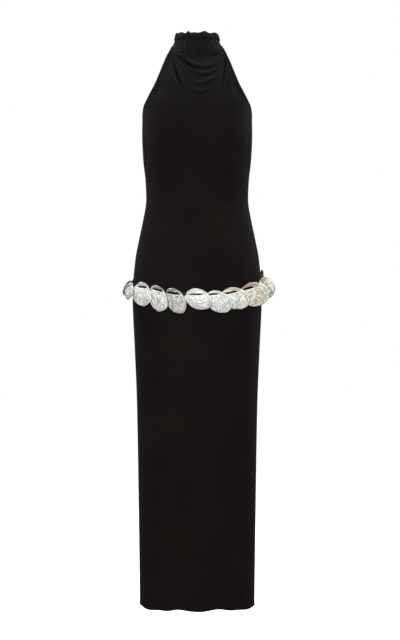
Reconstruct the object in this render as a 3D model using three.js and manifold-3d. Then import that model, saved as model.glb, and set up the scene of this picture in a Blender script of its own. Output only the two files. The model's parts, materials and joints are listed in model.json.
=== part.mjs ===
// A halter maxi dress in black jersey, as it hangs round a wearer, with a belt of natural shells.
// Millimetres, +Z up. The origin is the centre of the neck ring, where the wearer holds the dress.
// The front faces -Y, and +X is to the right of someone who looks at the front.
import * as THREE from "three";
import { mergeVertices } from "three/addons/utils/BufferGeometryUtils.js";
import Module from "manifold-3d";

const wasm = await Module();
wasm.setup();

// Cloth and seams
const CLOTH = 1.6;
const SEAM_GAP = 0.3;
const NECK_TOP = -2.5;
const NAPE_FOOT = -16;
const UNDERARM = -192;
const SCOOP_FOOT = -292;
const HEM = -1474;

// The figure that the dress hangs on, level by level: half width, depth in front and behind,
// and how far out the front panel reaches, to its armhole edge or its side seam.
const figure = [
  { z: -2, half: 57.8, front: 55, back: 52, edge: 57.8 },
  { z: -9, half: 59.4, front: 57.5, back: 54, edge: 59.4 },
  { z: -16, half: 63.4, front: 60, back: 57, edge: 63.4 },
  { z: -30, half: 82, front: 65, back: 64, edge: 69.6 },
  { z: -47, half: 102, front: 71, back: 70, edge: 77.8 },
  { z: -80, half: 127, front: 84, back: 80, edge: 90.8 },
  { z: -122, half: 143, front: 101, back: 84, edge: 107.8 },
  { z: -162, half: 145, front: 113, back: 86, edge: 129.6 },
  { z: -180, half: 143.2, front: 117, back: 87, edge: 138.8 },
  { z: -192, half: 142.4, front: 118, back: 87, edge: 141 },
  { z: -247, half: 143.3, front: 120, back: 88, edge: 131.5 },
  { z: -312, half: 140.4, front: 106, back: 80, edge: 128.5 },
  { z: -369, half: 134.3, front: 96, back: 72, edge: 132.5 },
  { z: -416, half: 132.5, front: 92, back: 69, edge: 132.5 },
  { z: -468, half: 140.4, front: 94, back: 77, edge: 140.4 },
  { z: -520, half: 151.3, front: 99, back: 93, edge: 151.3 },
  { z: -572, half: 160.9, front: 103, back: 107, edge: 160.9 },
  { z: -663, half: 168, front: 105, back: 118, edge: 168 },
  { z: -806, half: 162.2, front: 99, back: 107, edge: 162.2 },
  { z: -936, half: 156.9, front: 92, back: 96, edge: 156.9 },
  { z: -1222, half: 152, front: 85, back: 87, edge: 152 },
  { z: -1478, half: 148.9, front: 82, back: 83, edge: 148.9 },
];
const ROUNDNESS = 2.2;
const SECTION_STEPS = 160;

// Folds under the neck, seen from the front: from one end by way of the middle to the other end,
// as x and z. A ridge lifts the cloth and a crease sinks it.
const cowlFolds = {
  leftSlash: { ends: [-56, -50, 3, -98], middle: [-28, -64], width: 6.5, lift: -6 },
  upperSmile: { ends: [-36, -64, 55, -65], middle: [12, -84], width: 6, lift: 5 },
  secondSmile: { ends: [-16, -90, 53, -80], middle: [14, -107], width: 6, lift: 4.5 },
  thirdSmile: { ends: [-2, -125, 55, -92], middle: [30, -125], width: 6, lift: 4.5 },
  lowestSmile: { ends: [-6, -140, 25, -135], middle: [9, -153], width: 6, lift: 3 },
  neckSlash: { ends: [61, -39, 28, -53], middle: [45, -50], width: 6, lift: -3.5 },
  leftFall: { ends: [-62, -54, -37, -139], middle: [-53, -105], width: 7, lift: -5 },
  rightFall: { ends: [74, -48, 60, -146], middle: [66, -98], width: 7, lift: -5 },
  leftArmhole: { ends: [-90, -106, -101, -156], middle: [-97, -128], width: 7, lift: -3 },
  rightArmhole: { ends: [95, -118, 108, -166], middle: [102, -140], width: 7, lift: -3 },
};
const FOLD_STEPS = 14;
// How much of a fold's lift is left at its two ends.
const FOLD_END = 0.35;

// Long soft troughs in the skirt: where each lies across the panel, where it starts, how wide it is
// and how deep it has become at the hem.
const skirtTroughs = [
  { panel: "front", x: -27, top: -790, width: 17, depth: 7 },
  { panel: "front", x: 36, top: -1040, width: 15, depth: 4 },
  { panel: "front", x: -92, top: -1120, width: 18, depth: 3 },
  { panel: "front", x: 98, top: -960, width: 20, depth: 3 },
  { panel: "back", x: 24, top: -820, width: 19, depth: 6 },
  { panel: "back", x: -44, top: -1010, width: 16, depth: 4.5 },
  { panel: "back", x: 96, top: -1090, width: 18, depth: 3 },
  { panel: "back", x: -104, top: -900, width: 20, depth: 3.5 },
];

// The soft valley that runs just behind each side seam, between the underarm and the waist.
const seamValley = { top: -215, foot: -372, behind: 6, width: 6, depth: 3 };

// The gathers of the neck casing, round the ring from front centre to the viewer's right.
const gathers = [
  { at: -80, wide: 12, rise: 2.4, swell: 1.2 },
  { at: -50, wide: 15, rise: 4.8, swell: 2 },
  { at: -25, wide: 5, rise: 5.6, swell: 1 },
  { at: -8, wide: 9, rise: 2.4, swell: 1.8 },
  { at: 20, wide: 11, rise: 5.8, swell: 2.6 },
  { at: 54, wide: 12, rise: 3.8, swell: 2 },
  { at: 76, wide: 11, rise: 2.2, swell: 1.4 },
  { at: 104, wide: 9, rise: 3, swell: 2 },
  { at: 127, wide: 7, rise: 5, swell: 1.4 },
  { at: 152, wide: 11, rise: 3.6, swell: 2.4 },
  { at: 178, wide: 9, rise: 2.2, swell: 1.8 },
  { at: 203, wide: 12, rise: 5, swell: 2.2 },
  { at: 230, wide: 8, rise: 2.4, swell: 1.6 },
  { at: 254, wide: 10, rise: 3, swell: 2 },
];
const CASING_COLUMNS = 84;
const CASING_HEIGHT = 10.4;
const CASING_INSET = 3.4;
// How far the casing draws in where no gather fills it.
const CASING_PINCH = 0.6;
// The casing's own section: out from the ring, and up as a share of its height.
const casingSection = [
  { out: 2.6, up: 0 },
  { out: 3.8, up: 0.4 },
  { out: 3, up: 0.8 },
  { out: 0.4, up: 1 },
  { out: -2.6, up: 0.86 },
  { out: -3.6, up: 0.4 },
  { out: -2.2, up: 0 },
];

// The belt: a strap in a tilted plane, low in front and high behind.
const STRAP_WIDTH = 10;
const STRAP_THICKNESS = 2;
const STRAP_GAP = 0.5;
const BELT_FRONT = { y: -108, z: -664 };
const BELT_SLOPE = 0.36;
// Where the loop, which is loose, swings off that plane and off the hip: it rises beside its lowest
// place in front, and on the viewer's left it stands out at the side and drops just behind it.
const beltSwings = [
  { arc: -250, width: 60, rise: -18, out: 0 },
  { arc: -205, width: 50, rise: 0, out: 11 },
  { arc: -125, width: 55, rise: 8, out: 0 },
  { arc: 160, width: 60, rise: 8, out: 0 },
];
const BELT_SETTLING = 12;

// The shells: place along the strap from front centre, the long axis's fall to the right in degrees,
// length, width, how far the middle hangs below the strap, where the slot lies along the strap from
// the middle, at which angle from the long axis the rim comes to a soft point, how steeply the
// shell stands out from the body to its right and at its foot, and how far the shell beside it
// lifts it off its seat.
const shells = [
  { arc: 3, fall: 24, length: 70, width: 50, hang: 12, slot: -7, tip: 190, lean: 0.16, kick: 0, lift: 0 },
  { arc: 52, fall: 34, length: 70, width: 51, hang: 20, slot: -13, tip: 20, lean: 0.16, kick: 0, lift: 0 },
  { arc: 92, fall: 24, length: 73, width: 54, hang: 17, slot: -12, tip: -20, lean: 0.17, kick: 0, lift: 0 },
  { arc: 142, fall: 22, length: 76, width: 61, hang: 21, slot: -18, tip: 30, lean: 0.33, kick: 0.04, lift: 0 },
  { arc: 199, fall: 36, length: 68, width: 54, hang: 18, slot: -8, tip: 10, lean: 0.46, kick: 0.05, lift: 0 },
  { arc: 254, fall: 38, length: 71, width: 54, hang: 14, slot: -8, tip: 25, lean: 0.27, kick: -0.03, lift: 0 },
  { arc: 304, fall: 26, length: 74, width: 54, hang: 14, slot: -9, tip: 200, lean: 0.2, kick: 0, lift: 0 },
  { arc: 355, fall: 34, length: 72, width: 53, hang: 15, slot: -8, tip: 0, lean: 0.17, kick: 0, lift: 0 },
  { arc: 405, fall: 46, length: 74, width: 53, hang: 16, slot: -9, tip: 20, lean: 0.17, kick: 0, lift: 0 },
  { arc: 455, fall: 26, length: 76, width: 55, hang: 14, slot: -8, tip: -15, lean: 0.16, kick: 0, lift: 0 },
  { arc: 504, fall: 38, length: 73, width: 53, hang: 15, slot: -9, tip: 30, lean: 0.19, kick: 0.03, lift: 0 },
  { arc: 553, fall: 30, length: 68, width: 52, hang: 14, slot: -8, tip: 5, lean: 0.2, kick: 0.11, lift: 0 },
  { arc: 607, fall: 36, length: 62, width: 47, hang: 12, slot: -7, tip: 25, lean: 0.28, kick: 0.26, lift: 0 },
  { arc: -235, fall: 14, length: 50, width: 36, hang: 8, slot: -4, tip: 10, lean: 0.14, kick: 0.22, lift: 0.3 },
  { arc: -176, fall: 26, length: 56, width: 42, hang: 12, slot: -5, tip: 10, lean: 0.3, kick: 0.3, lift: 1.8 },
  { arc: -140, fall: 50, length: 64, width: 55, hang: 18, slot: 4, tip: 25, lean: -0.04, kick: 0, lift: 8.2 },
  { arc: -95, fall: 48, length: 71, width: 49, hang: 21, slot: -5, tip: 22, lean: 0.16, kick: 0, lift: 0 },
  { arc: -52, fall: 47, length: 70, width: 48, hang: 18.5, slot: -9, tip: 0, lean: 0.16, kick: 0, lift: 0 },
];
const SHELL_WALL = 2;
const SHELL_DOME = 7;
const SHELL_COLUMNS = 16;
const SEAT_STEPS = 4;
const SLOT_DEPTH = 40;
const SLOT_START = -10;
// A shell rests clear of the strap and of the cloth by these, with the strap's edges given a margin.
const STRAP_SEAT = 0.3;
const CLOTH_SEAT = 0.3;
const STRAP_MARGIN = 1;
// The raised rim of a shell, ring by ring out from its middle, highest towards one side in degrees.
const LIP_SIDE = 30;
const shellRings = [
  { share: 0.55, lip: 0 },
  { share: 0.9, lip: 0.9 },
  { share: 1, lip: 0 },
];
const backRings = [
  { share: 0.6, lip: 0 },
  { share: 1, lip: 0 },
];
// The soft point of the rim: its half width in radians, and its reach as a share of the shell.
const SHELL_POINT = { wide: 0.34, reach: 0.07 };
// The slot's outline about its middle: a straight lower edge and a toothed upper one.
const slotOutline = [
  [-14, -2.4],
  [14, -2.4],
  [13, 0.8],
  [8, 3],
  [5.5, 1.2],
  [2.5, 3.2],
  [0, 1.2],
  [-3, 3.2],
  [-6, 1.1],
  [-9, 2.6],
  [-13.5, 0.4],
];

// How finely each panel is divided across, and down from stretch to stretch.
const FRONT_COLUMNS = 36;
const BACK_COLUMNS = 30;
const NAPE_COLUMNS = 16;
const aboveUnderarm = [
  { foot: NAPE_FOOT, rows: 3 },
  { foot: -158, rows: 17 },
  { foot: UNDERARM, rows: 2 },
];
const belowUnderarm = [
  { foot: -420, rows: 6 },
  { foot: -700, rows: 7 },
  { foot: HEM, rows: 6 },
];

const jersey = { color: 0x1a1817, roughness: 0.88, metalness: 0 };
const casingJersey = { color: 0x1e1b1b, roughness: 0.86, metalness: 0 };
const strapCord = { color: 0x12110f, roughness: 0.75, metalness: 0 };
const nacre = { color: 0xd9d5cb, roughness: 0.32, metalness: 0.05 };

// A smooth curve through one column of a table whose z falls from row to row, with no overshoot.
function smoothColumn(rows, column) {
  const z = rows.map((row) => row.z);
  const value = rows.map((row) => row[column]);
  const slope = z.slice(1).map((next, i) => (value[i + 1] - value[i]) / (next - z[i]));
  const tangent = z.map((_, i) => {
    const before = slope[Math.max(i - 1, 0)];
    const after = slope[Math.min(i, slope.length - 1)];
    return before * after > 0 ? (2 * before * after) / (before + after) : 0;
  });
  return (at) => {
    let i = 0;
    while (i < z.length - 2 && at < z[i + 1]) i += 1;
    const span = z[i + 1] - z[i];
    const t = Math.min(Math.max((at - z[i]) / span, 0), 1);
    const rise = t * t * (3 - 2 * t);
    const bend = t * (1 - t) * span * ((1 - t) * tangent[i] - t * tangent[i + 1]);
    return value[i] + (value[i + 1] - value[i]) * rise + bend;
  };
}

const halfAt = smoothColumn(figure, "half");
const frontAt = smoothColumn(figure, "front");
const backAt = smoothColumn(figure, "back");
const edgeAt = smoothColumn(figure, "edge");

// Half of the dress's section at one level, from front centre round the right side to back centre.
const sections = new Map();
function halfSection(z) {
  const key = z.toFixed(3);
  if (sections.has(key)) return sections.get(key);
  const half = halfAt(z);
  const power = 2 / ROUNDNESS;
  const points = [];
  for (let i = 0; i <= SECTION_STEPS; i++) {
    const turn = (i / SECTION_STEPS) * Math.PI;
    const across = Math.cos(turn);
    const depth = across > 0 ? -frontAt(z) : backAt(z);
    const x = i === SECTION_STEPS ? 0 : half * Math.sin(turn) ** power;
    points.push({ x, y: depth * Math.abs(across) ** power, arc: 0 });
  }
  points.forEach((point, i) => {
    const before = points[i - 1] ?? { x: -points[1].x, y: points[1].y };
    const after = points[i + 1] ?? { x: -before.x, y: before.y };
    const run = Math.hypot(after.x - before.x, after.y - before.y);
    point.nx = (after.y - before.y) / run;
    point.ny = (before.x - after.x) / run;
    if (i > 0) point.arc = before.arc + Math.hypot(point.x - before.x, point.y - before.y);
  });
  const seamTurn = Math.asin(Math.min((edgeAt(z) / half) ** (ROUNDNESS / 2), 1));
  const place = (seamTurn / Math.PI) * SECTION_STEPS;
  const below = points[Math.floor(place)];
  const above = points[Math.ceil(place)];
  const seam = below.arc + (above.arc - below.arc) * (place % 1);
  const made = { points, seam, whole: points[SECTION_STEPS].arc };
  sections.set(key, made);
  return made;
}

// The point of a section at an arc length from front centre, negative to the viewer's left.
function pointAtArc(section, arc) {
  const side = Math.sign(arc) || 1;
  const target = Math.min(Math.abs(arc), section.whole);
  let i = 1;
  while (i < SECTION_STEPS && section.points[i].arc < target) i += 1;
  const before = section.points[i - 1];
  const after = section.points[i];
  const t = (target - before.arc) / (after.arc - before.arc);
  const mix = (name) => before[name] + (after[name] - before[name]) * t;
  const size = Math.hypot(mix("nx"), mix("ny"));
  return { x: side * mix("x"), y: mix("y"), nx: (side * mix("nx")) / size, ny: mix("ny") / size };
}

const radians = THREE.MathUtils.degToRad;
const bell = (distance, width) => Math.exp(-((distance / width) ** 2));
const ramp = (value) => {
  const t = Math.min(Math.max(value, 0), 1);
  return t * t * (3 - 2 * t);
};

// The shortest way from a place on the front to a fold's bent line.
function distanceToFold(fold, x, z) {
  const [x0, z0, x2, z2] = fold.ends;
  const [x1, z1] = fold.middle;
  let best = Infinity;
  let share = 0;
  for (let i = 0; i <= FOLD_STEPS; i++) {
    const t = i / FOLD_STEPS;
    const px = (1 - t) ** 2 * x0 + 2 * t * (1 - t) * x1 + t * t * x2;
    const pz = (1 - t) ** 2 * z0 + 2 * t * (1 - t) * z1 + t * t * z2;
    const distance = Math.hypot(x - px, z - pz);
    if (distance < best) {
      best = distance;
      share = t;
    }
  }
  return { best, share };
}

// How far the cloth stands out of the figure's smooth section at a place.
function drape(panel, x, z, pastSeam) {
  let lift = 0;
  if (panel === "front") {
    for (const fold of Object.values(cowlFolds)) {
      const { best, share } = distanceToFold(fold, x, z);
      const fade = FOLD_END + (1 - FOLD_END) * Math.sin(Math.PI * share);
      lift += fold.lift * fade * bell(best, fold.width);
    }
  }
  for (const trough of skirtTroughs) {
    if (trough.panel !== panel || z > trough.top) continue;
    const grown = ramp((trough.top - z) / (trough.top - HEM));
    lift -= trough.depth * grown * bell(x - trough.x, trough.width);
  }
  const { top, foot, behind, width, depth } = seamValley;
  if (z < top && z > foot) {
    const along = Math.sin((Math.PI * (top - z)) / (top - foot));
    lift -= depth * along * bell(pastSeam - behind, width);
  }
  return lift;
}

// The outer and the inner point of a panel at an arc length and a level.
function clothPoint(panel, section, arc, z) {
  const base = pointAtArc(section, arc);
  const lift = drape(panel, base.x, z, Math.abs(arc) - section.seam);
  const at = (out) => [base.x + base.nx * out, base.y + base.ny * out, z];
  return { outer: at(lift), inner: at(lift - CLOTH) };
}

// Turns a list of corner triples into one closed geometry with shared points.
function closedGeometry(corners) {
  const geometry = new THREE.BufferGeometry();
  geometry.setAttribute("position", new THREE.Float32BufferAttribute(corners.flat(), 3));
  return mergeVertices(geometry, 1e-4);
}

function addQuad(corners, a, b, c, d) {
  corners.push(a, b, c, a, c, d);
}

// A sheet of cloth with thickness, from a grid of rows running down and columns running right.
function wall(grid) {
  const corners = [];
  const rows = grid.length - 1;
  const columns = grid[0].length - 1;
  for (let r = 0; r < rows; r++) {
    for (let c = 0; c < columns; c++) {
      const [a, b] = [grid[r][c], grid[r][c + 1]];
      const [d, e] = [grid[r + 1][c], grid[r + 1][c + 1]];
      addQuad(corners, a.outer, d.outer, e.outer, b.outer);
      addQuad(corners, a.inner, b.inner, e.inner, d.inner);
    }
  }
  for (let c = 0; c < columns; c++) {
    const [a, b] = [grid[0][c], grid[0][c + 1]];
    const [d, e] = [grid[rows][c], grid[rows][c + 1]];
    addQuad(corners, a.outer, b.outer, b.inner, a.inner);
    addQuad(corners, d.outer, d.inner, e.inner, e.outer);
  }
  for (let r = 0; r < rows; r++) {
    const [a, d] = [grid[r][0], grid[r + 1][0]];
    const [b, e] = [grid[r][columns], grid[r + 1][columns]];
    addQuad(corners, a.outer, a.inner, d.inner, d.outer);
    addQuad(corners, b.outer, e.outer, e.inner, b.inner);
  }
  return closedGeometry(corners);
}

// A closed ring: a list of stations round the ring, each a closed loop of points.
function ringSolid(stations) {
  const corners = [];
  stations.forEach((station, i) => {
    const next = stations[(i + 1) % stations.length];
    station.forEach((point, k) => {
      const m = (k + 1) % station.length;
      addQuad(corners, point, next[k], next[m], station[m]);
    });
  });
  return closedGeometry(corners);
}

// Levels from a list of stretches, each with its foot and its number of rows.
function levels(top, stretches) {
  const made = [top];
  for (const { foot, rows } of stretches) {
    const start = made.at(-1);
    for (let i = 1; i <= rows; i++) made.push(start + ((foot - start) * i) / rows);
  }
  return made;
}

function frontPanel() {
  const grid = levels(NECK_TOP, [...aboveUnderarm, ...belowUnderarm]).map((z) => {
    const section = halfSection(z);
    const reach = section.seam - SEAM_GAP / 2;
    return Array.from({ length: FRONT_COLUMNS + 1 }, (_, c) =>
      clothPoint("front", section, reach * ((2 * c) / FRONT_COLUMNS - 1), z),
    );
  });
  return wall(grid);
}

// An arc length on the back half, by its share from the right seam round to the left one.
function backArc(section, share) {
  const room = section.whole - section.seam - SEAM_GAP / 2;
  return share <= 0.5
    ? section.whole - room * (1 - 2 * share)
    : -(section.whole - room * (2 * share - 1));
}

function scoopLevel(share) {
  return UNDERARM + (SCOOP_FOOT - UNDERARM) * ramp(1 - Math.abs(2 * share - 1));
}

// The back's rows fall with its scooped top, and meet the front's levels at the two side seams.
function backPanel() {
  const grid = levels(UNDERARM, belowUnderarm).map((level) => {
    const fallen = (UNDERARM - level) / (UNDERARM - HEM);
    return Array.from({ length: BACK_COLUMNS + 1 }, (_, c) => {
      const share = c / BACK_COLUMNS;
      const top = scoopLevel(share);
      const z = top + (HEM - top) * fallen;
      const section = halfSection(z);
      return clothPoint("back", section, backArc(section, share), z);
    });
  });
  return wall(grid);
}

function napeBand() {
  const grid = levels(NECK_TOP, aboveUnderarm.slice(0, 1)).map((z) => {
    const section = halfSection(z);
    return Array.from({ length: NAPE_COLUMNS + 1 }, (_, c) =>
      clothPoint("nape", section, backArc(section, c / NAPE_COLUMNS), z),
    );
  });
  return wall(grid);
}

function neckCasing() {
  const foot = NECK_TOP + SEAM_GAP;
  const section = halfSection(NECK_TOP);
  const stations = [];
  for (let c = 0; c < CASING_COLUMNS; c++) {
    const turn = (2 * c) / CASING_COLUMNS;
    const arc = section.whole * (turn <= 1 ? turn : turn - 2);
    const base = pointAtArc(section, arc);
    let rise = 0;
    let swell = -CASING_PINCH;
    for (const gather of gathers) {
      const away = Math.cos(Math.PI * turn - radians(gather.at));
      const near = bell(Math.acos(THREE.MathUtils.clamp(away, -1, 1)), radians(gather.wide));
      rise += gather.rise * near;
      swell += gather.swell * near;
    }
    const height = CASING_HEIGHT + rise;
    stations.push(
      casingSection.map(({ out, up }) => {
        const reach = out - CASING_INSET + Math.sign(out) * swell * up;
        return [base.x + base.nx * reach, base.y + base.ny * reach, foot + height * up];
      }),
    );
  }
  return ringSolid(stations);
}

// How far the swings move the loop at a place round it: up, or out off the hip.
function beltSwing(arc, column) {
  return beltSwings.reduce((sum, swing) => sum + swing[column] * bell(arc - swing.arc, swing.width), 0);
}

// A point on the strap's middle line, at its inner face. Its level and its depth settle together,
// turn by turn.
function beltPoint(arcAt) {
  let z = BELT_FRONT.z;
  let base = null;
  let arc = 0;
  for (let i = 0; i < BELT_SETTLING; i++) {
    const section = halfSection(z);
    arc = arcAt(section);
    base = pointAtArc(section, arc);
    z = BELT_FRONT.z + BELT_SLOPE * (base.y - BELT_FRONT.y) + beltSwing(arc, "rise");
  }
  const off = beltSwing(arc, "out");
  return { ...base, x: base.x + base.nx * off, y: base.y + base.ny * off, z };
}

function strapStation(arcAt) {
  const middle = beltPoint(arcAt);
  const edge = (rise, out) => {
    const z = middle.z + rise;
    const section = halfSection(z);
    const arc = arcAt(section);
    const base = pointAtArc(section, arc);
    const reach = out + beltSwing(arc, "out");
    return [base.x + base.nx * reach, base.y + base.ny * reach, z];
  };
  const half = STRAP_WIDTH / 2;
  const face = STRAP_GAP + STRAP_THICKNESS;
  return [edge(-half, STRAP_GAP), edge(-half, face), edge(half, face), edge(half, STRAP_GAP)];
}

function beltStrap() {
  const stations = [];
  for (let c = 0; c < FRONT_COLUMNS; c++) {
    stations.push(strapStation((section) => section.seam * ((2 * c) / FRONT_COLUMNS - 1)));
  }
  for (let c = 0; c < BACK_COLUMNS; c++) {
    stations.push(strapStation((section) => backArc(section, c / BACK_COLUMNS)));
  }
  return ringSolid(stations);
}

// An arc length taken round the loop, so that it stays between the two ways to back centre.
function wrapped(arc, section) {
  if (arc > section.whole) return arc - 2 * section.whole;
  if (arc < -section.whole) return arc + 2 * section.whole;
  return arc;
}

// The frame that a shell lies in: at the strap's inner face, right along it, up, and out. The
// heights of the cloth, and of the strap off the cloth, are read at a place right and up in it.
function beltFrame(arc) {
  const along = (shift) => {
    const point = beltPoint((section) => wrapped(arc + shift, section));
    return new THREE.Vector3(point.x, point.y, point.z);
  };
  const here = along(0);
  const right = along(1).sub(along(-1)).normalize();
  const up = new THREE.Vector3(0, 0, 1);
  const out = new THREE.Vector3().crossVectors(right, up).normalize();
  up.crossVectors(out, right).normalize();
  const whole = halfSection(here.z).whole;
  const ground = (x, y) => {
    const level = here.z + x * right.z + y * up.z;
    const section = halfSection(level);
    const middle = (arc * section.whole) / whole;
    const place = wrapped(middle + x * up.z - y * right.z, section);
    const base = pointAtArc(section, place);
    const cloth = new THREE.Vector3(base.x, base.y, level).sub(here).dot(out);
    return { cloth, strap: cloth + beltSwing(place, "out") };
  };
  return { here, right, up, out, ground };
}

// A shell's outline at an angle from its long axis, as a place right and up from its middle.
function shellEdge(shell, angle, share) {
  const a = shell.length / 2;
  const b = shell.width / 2;
  const turn = Math.atan2(Math.sin(angle - radians(shell.tip)), Math.cos(angle - radians(shell.tip)));
  const round = 1 / Math.hypot(Math.cos(angle) / a, Math.sin(angle) / b);
  const reach = share * round * (1 + SHELL_POINT.reach * bell(turn, SHELL_POINT.wide));
  const lie = angle - radians(shell.fall);
  return [reach * Math.cos(lie), reach * Math.sin(lie)];
}

function shellAngles(count) {
  return Array.from({ length: count }, (_, c) => (2 * Math.PI * c) / count);
}

// One face of a shell: rings of points round its middle, domed away from the body.
function shellFace(shell, rings, wallHeight) {
  const middle = [0, 0, SHELL_DOME + wallHeight];
  const made = rings.map(({ share, lip }) =>
    shellAngles(SHELL_COLUMNS).map((angle) => {
      const [x, y] = shellEdge(shell, angle, share);
      const side = 0.5 + 0.5 * Math.cos(Math.atan2(y, x) - radians(LIP_SIDE));
      const dome = SHELL_DOME * (1 - share ** 2);
      return [x, y, dome + wallHeight + lip * side + shell.lean * x - shell.kick * y];
    }),
  );
  return { middle, made };
}

function shellSolid(shell) {
  const front = shellFace(shell, shellRings, SHELL_WALL);
  const rear = shellFace(shell, backRings, 0);
  const corners = [];
  for (let c = 0; c < SHELL_COLUMNS; c++) {
    const n = (c + 1) % SHELL_COLUMNS;
    corners.push(front.middle, front.made[0][c], front.made[0][n]);
    corners.push(rear.middle, rear.made[0][n], rear.made[0][c]);
    for (let r = 1; r < front.made.length; r++) {
      const [near, far] = [front.made[r - 1], front.made[r]];
      addQuad(corners, near[c], far[c], far[n], near[n]);
    }
    for (let r = 1; r < rear.made.length; r++) {
      const [near, far] = [rear.made[r - 1], rear.made[r]];
      addQuad(corners, near[c], near[n], far[n], far[c]);
    }
    const [rim, foot] = [front.made.at(-1), rear.made.at(-1)];
    addQuad(corners, rim[c], foot[c], foot[n], rim[n]);
  }
  return manifoldOf(closedGeometry(corners));
}

function manifoldOf(geometry) {
  const mesh = new wasm.Mesh({
    numProp: 3,
    vertProperties: new Float32Array(geometry.attributes.position.array),
    triVerts: new Uint32Array(geometry.index.array),
  });
  return new wasm.Manifold(mesh);
}

function geometryOf(solid) {
  const mesh = solid.getMesh();
  const geometry = new THREE.BufferGeometry();
  geometry.setAttribute("position", new THREE.BufferAttribute(mesh.vertProperties, 3));
  return geometry.setIndex(new THREE.BufferAttribute(mesh.triVerts, 1));
}

// The tool that cuts a shell's slot: the slot's outline drawn out through the wall.
function slotTool(shell) {
  const outline = new THREE.Shape(slotOutline.map(([x, y]) => new THREE.Vector2(x, y)));
  const tool = new THREE.ExtrudeGeometry(outline, { depth: SLOT_DEPTH, bevelEnabled: false });
  tool.deleteAttribute("normal");
  tool.deleteAttribute("uv");
  tool.translate(shell.slot, shell.hang, SLOT_START);
  return manifoldOf(mergeVertices(tool, 1e-4));
}

// The height at which a shell's rim first meets the strap or the cloth as it comes in, and what the
// shell beside it adds.
function seatHeight(shell, frame) {
  const face = STRAP_GAP + STRAP_THICKNESS;
  const rim = shellAngles(SHELL_COLUMNS).map((angle) => shellEdge(shell, angle, 1));
  const steps = Array.from({ length: SEAT_STEPS * SHELL_COLUMNS }, (_, i) => i / SEAT_STEPS);
  const heights = steps.map((step) => {
    const near = rim[Math.floor(step)];
    const far = rim[Math.ceil(step) % SHELL_COLUMNS];
    const x = near[0] + (far[0] - near[0]) * (step % 1);
    const y = near[1] + (far[1] - near[1]) * (step % 1);
    const rise = y - shell.hang;
    const onStrap = Math.abs(rise) < STRAP_WIDTH / 2 + STRAP_MARGIN;
    const { cloth, strap } = frame.ground(x, rise);
    const ground = onStrap ? strap + face + STRAP_SEAT : cloth + CLOTH_SEAT;
    return ground - shell.lean * x + shell.kick * y;
  });
  return Math.max(...heights) + shell.lift;
}

function shellMesh(shell, index) {
  const frame = beltFrame(shell.arc);
  const geometry = geometryOf(shellSolid(shell).subtract(slotTool(shell)));
  const mesh = new THREE.Mesh(geometry, new THREE.MeshStandardMaterial(nacre));
  const basis = new THREE.Matrix4().makeBasis(frame.right, frame.up, frame.out);
  mesh.quaternion.setFromRotationMatrix(basis);
  mesh.position.copy(frame.here);
  mesh.position.addScaledVector(frame.up, -shell.hang);
  mesh.position.addScaledVector(frame.out, seatHeight(shell, frame));
  mesh.name = `shell_${String(index + 1).padStart(2, "0")}`;
  return mesh;
}

function named(name, geometry, finish) {
  const mesh = new THREE.Mesh(geometry, new THREE.MeshStandardMaterial(finish));
  mesh.name = name;
  return mesh;
}

const dress = new THREE.Group();
dress.add(
  named("front_panel", frontPanel(), jersey),
  named("back_panel", backPanel(), jersey),
  named("nape_band", napeBand(), jersey),
  named("neck_casing", neckCasing(), casingJersey),
);

const belt = new THREE.Group();
belt.add(named("belt_strap", beltStrap(), strapCord));
shells.forEach((shell, index) => belt.add(shellMesh(shell, index)));

const garment = new THREE.Group();
garment.add(dress, belt);

export default garment;
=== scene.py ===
# %% [markdown]
# # A halter maxi dress in black jersey, with its belt of shells
#
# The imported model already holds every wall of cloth, the strap and the shells at their real size.
# This lesson dresses that frame: fine cloth with its folds, stitches, a woven strap, and shells
# with a pearl lining. Every length is written in millimetres and made into metres in one place.

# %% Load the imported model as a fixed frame
import json
import math

import bpy
import numpy as np
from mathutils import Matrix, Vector, geometry, noise

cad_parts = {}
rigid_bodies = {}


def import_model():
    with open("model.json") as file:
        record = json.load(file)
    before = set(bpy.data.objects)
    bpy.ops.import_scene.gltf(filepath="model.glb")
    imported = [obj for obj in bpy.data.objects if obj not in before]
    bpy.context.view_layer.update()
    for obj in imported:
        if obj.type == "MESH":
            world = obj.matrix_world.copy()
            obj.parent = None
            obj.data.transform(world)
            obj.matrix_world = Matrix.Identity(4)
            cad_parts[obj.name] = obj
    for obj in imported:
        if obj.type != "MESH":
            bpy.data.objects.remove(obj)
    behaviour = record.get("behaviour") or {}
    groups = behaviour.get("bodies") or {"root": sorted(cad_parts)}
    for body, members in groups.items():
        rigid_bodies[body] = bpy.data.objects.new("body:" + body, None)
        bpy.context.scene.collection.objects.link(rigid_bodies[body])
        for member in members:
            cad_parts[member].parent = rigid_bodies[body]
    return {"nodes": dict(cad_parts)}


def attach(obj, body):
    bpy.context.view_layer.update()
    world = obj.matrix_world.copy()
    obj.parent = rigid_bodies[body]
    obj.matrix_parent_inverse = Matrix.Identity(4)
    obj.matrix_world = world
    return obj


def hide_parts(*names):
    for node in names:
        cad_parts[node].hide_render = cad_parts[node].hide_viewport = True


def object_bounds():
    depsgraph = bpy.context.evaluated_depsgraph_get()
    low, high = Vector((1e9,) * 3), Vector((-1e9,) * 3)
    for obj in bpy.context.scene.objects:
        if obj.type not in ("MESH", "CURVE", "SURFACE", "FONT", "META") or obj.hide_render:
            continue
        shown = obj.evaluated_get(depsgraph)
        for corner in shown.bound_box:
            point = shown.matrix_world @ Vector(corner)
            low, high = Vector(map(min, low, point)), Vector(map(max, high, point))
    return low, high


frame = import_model()
cad_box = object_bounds()
MM = 0.001
print("frame:", len(frame["nodes"]), "nodes,", round(cad_box[1].z - cad_box[0].z, 3), "m tall")

# %% [markdown]
# ## The camera
#
# The picture was taken level, at the height of the hip, from several metres away, so the hem
# hardly curves. A long lens at 4.5 m gives the same flat look. The width of the sensor belongs to
# the longer side of the picture, which is its height here.

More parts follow.
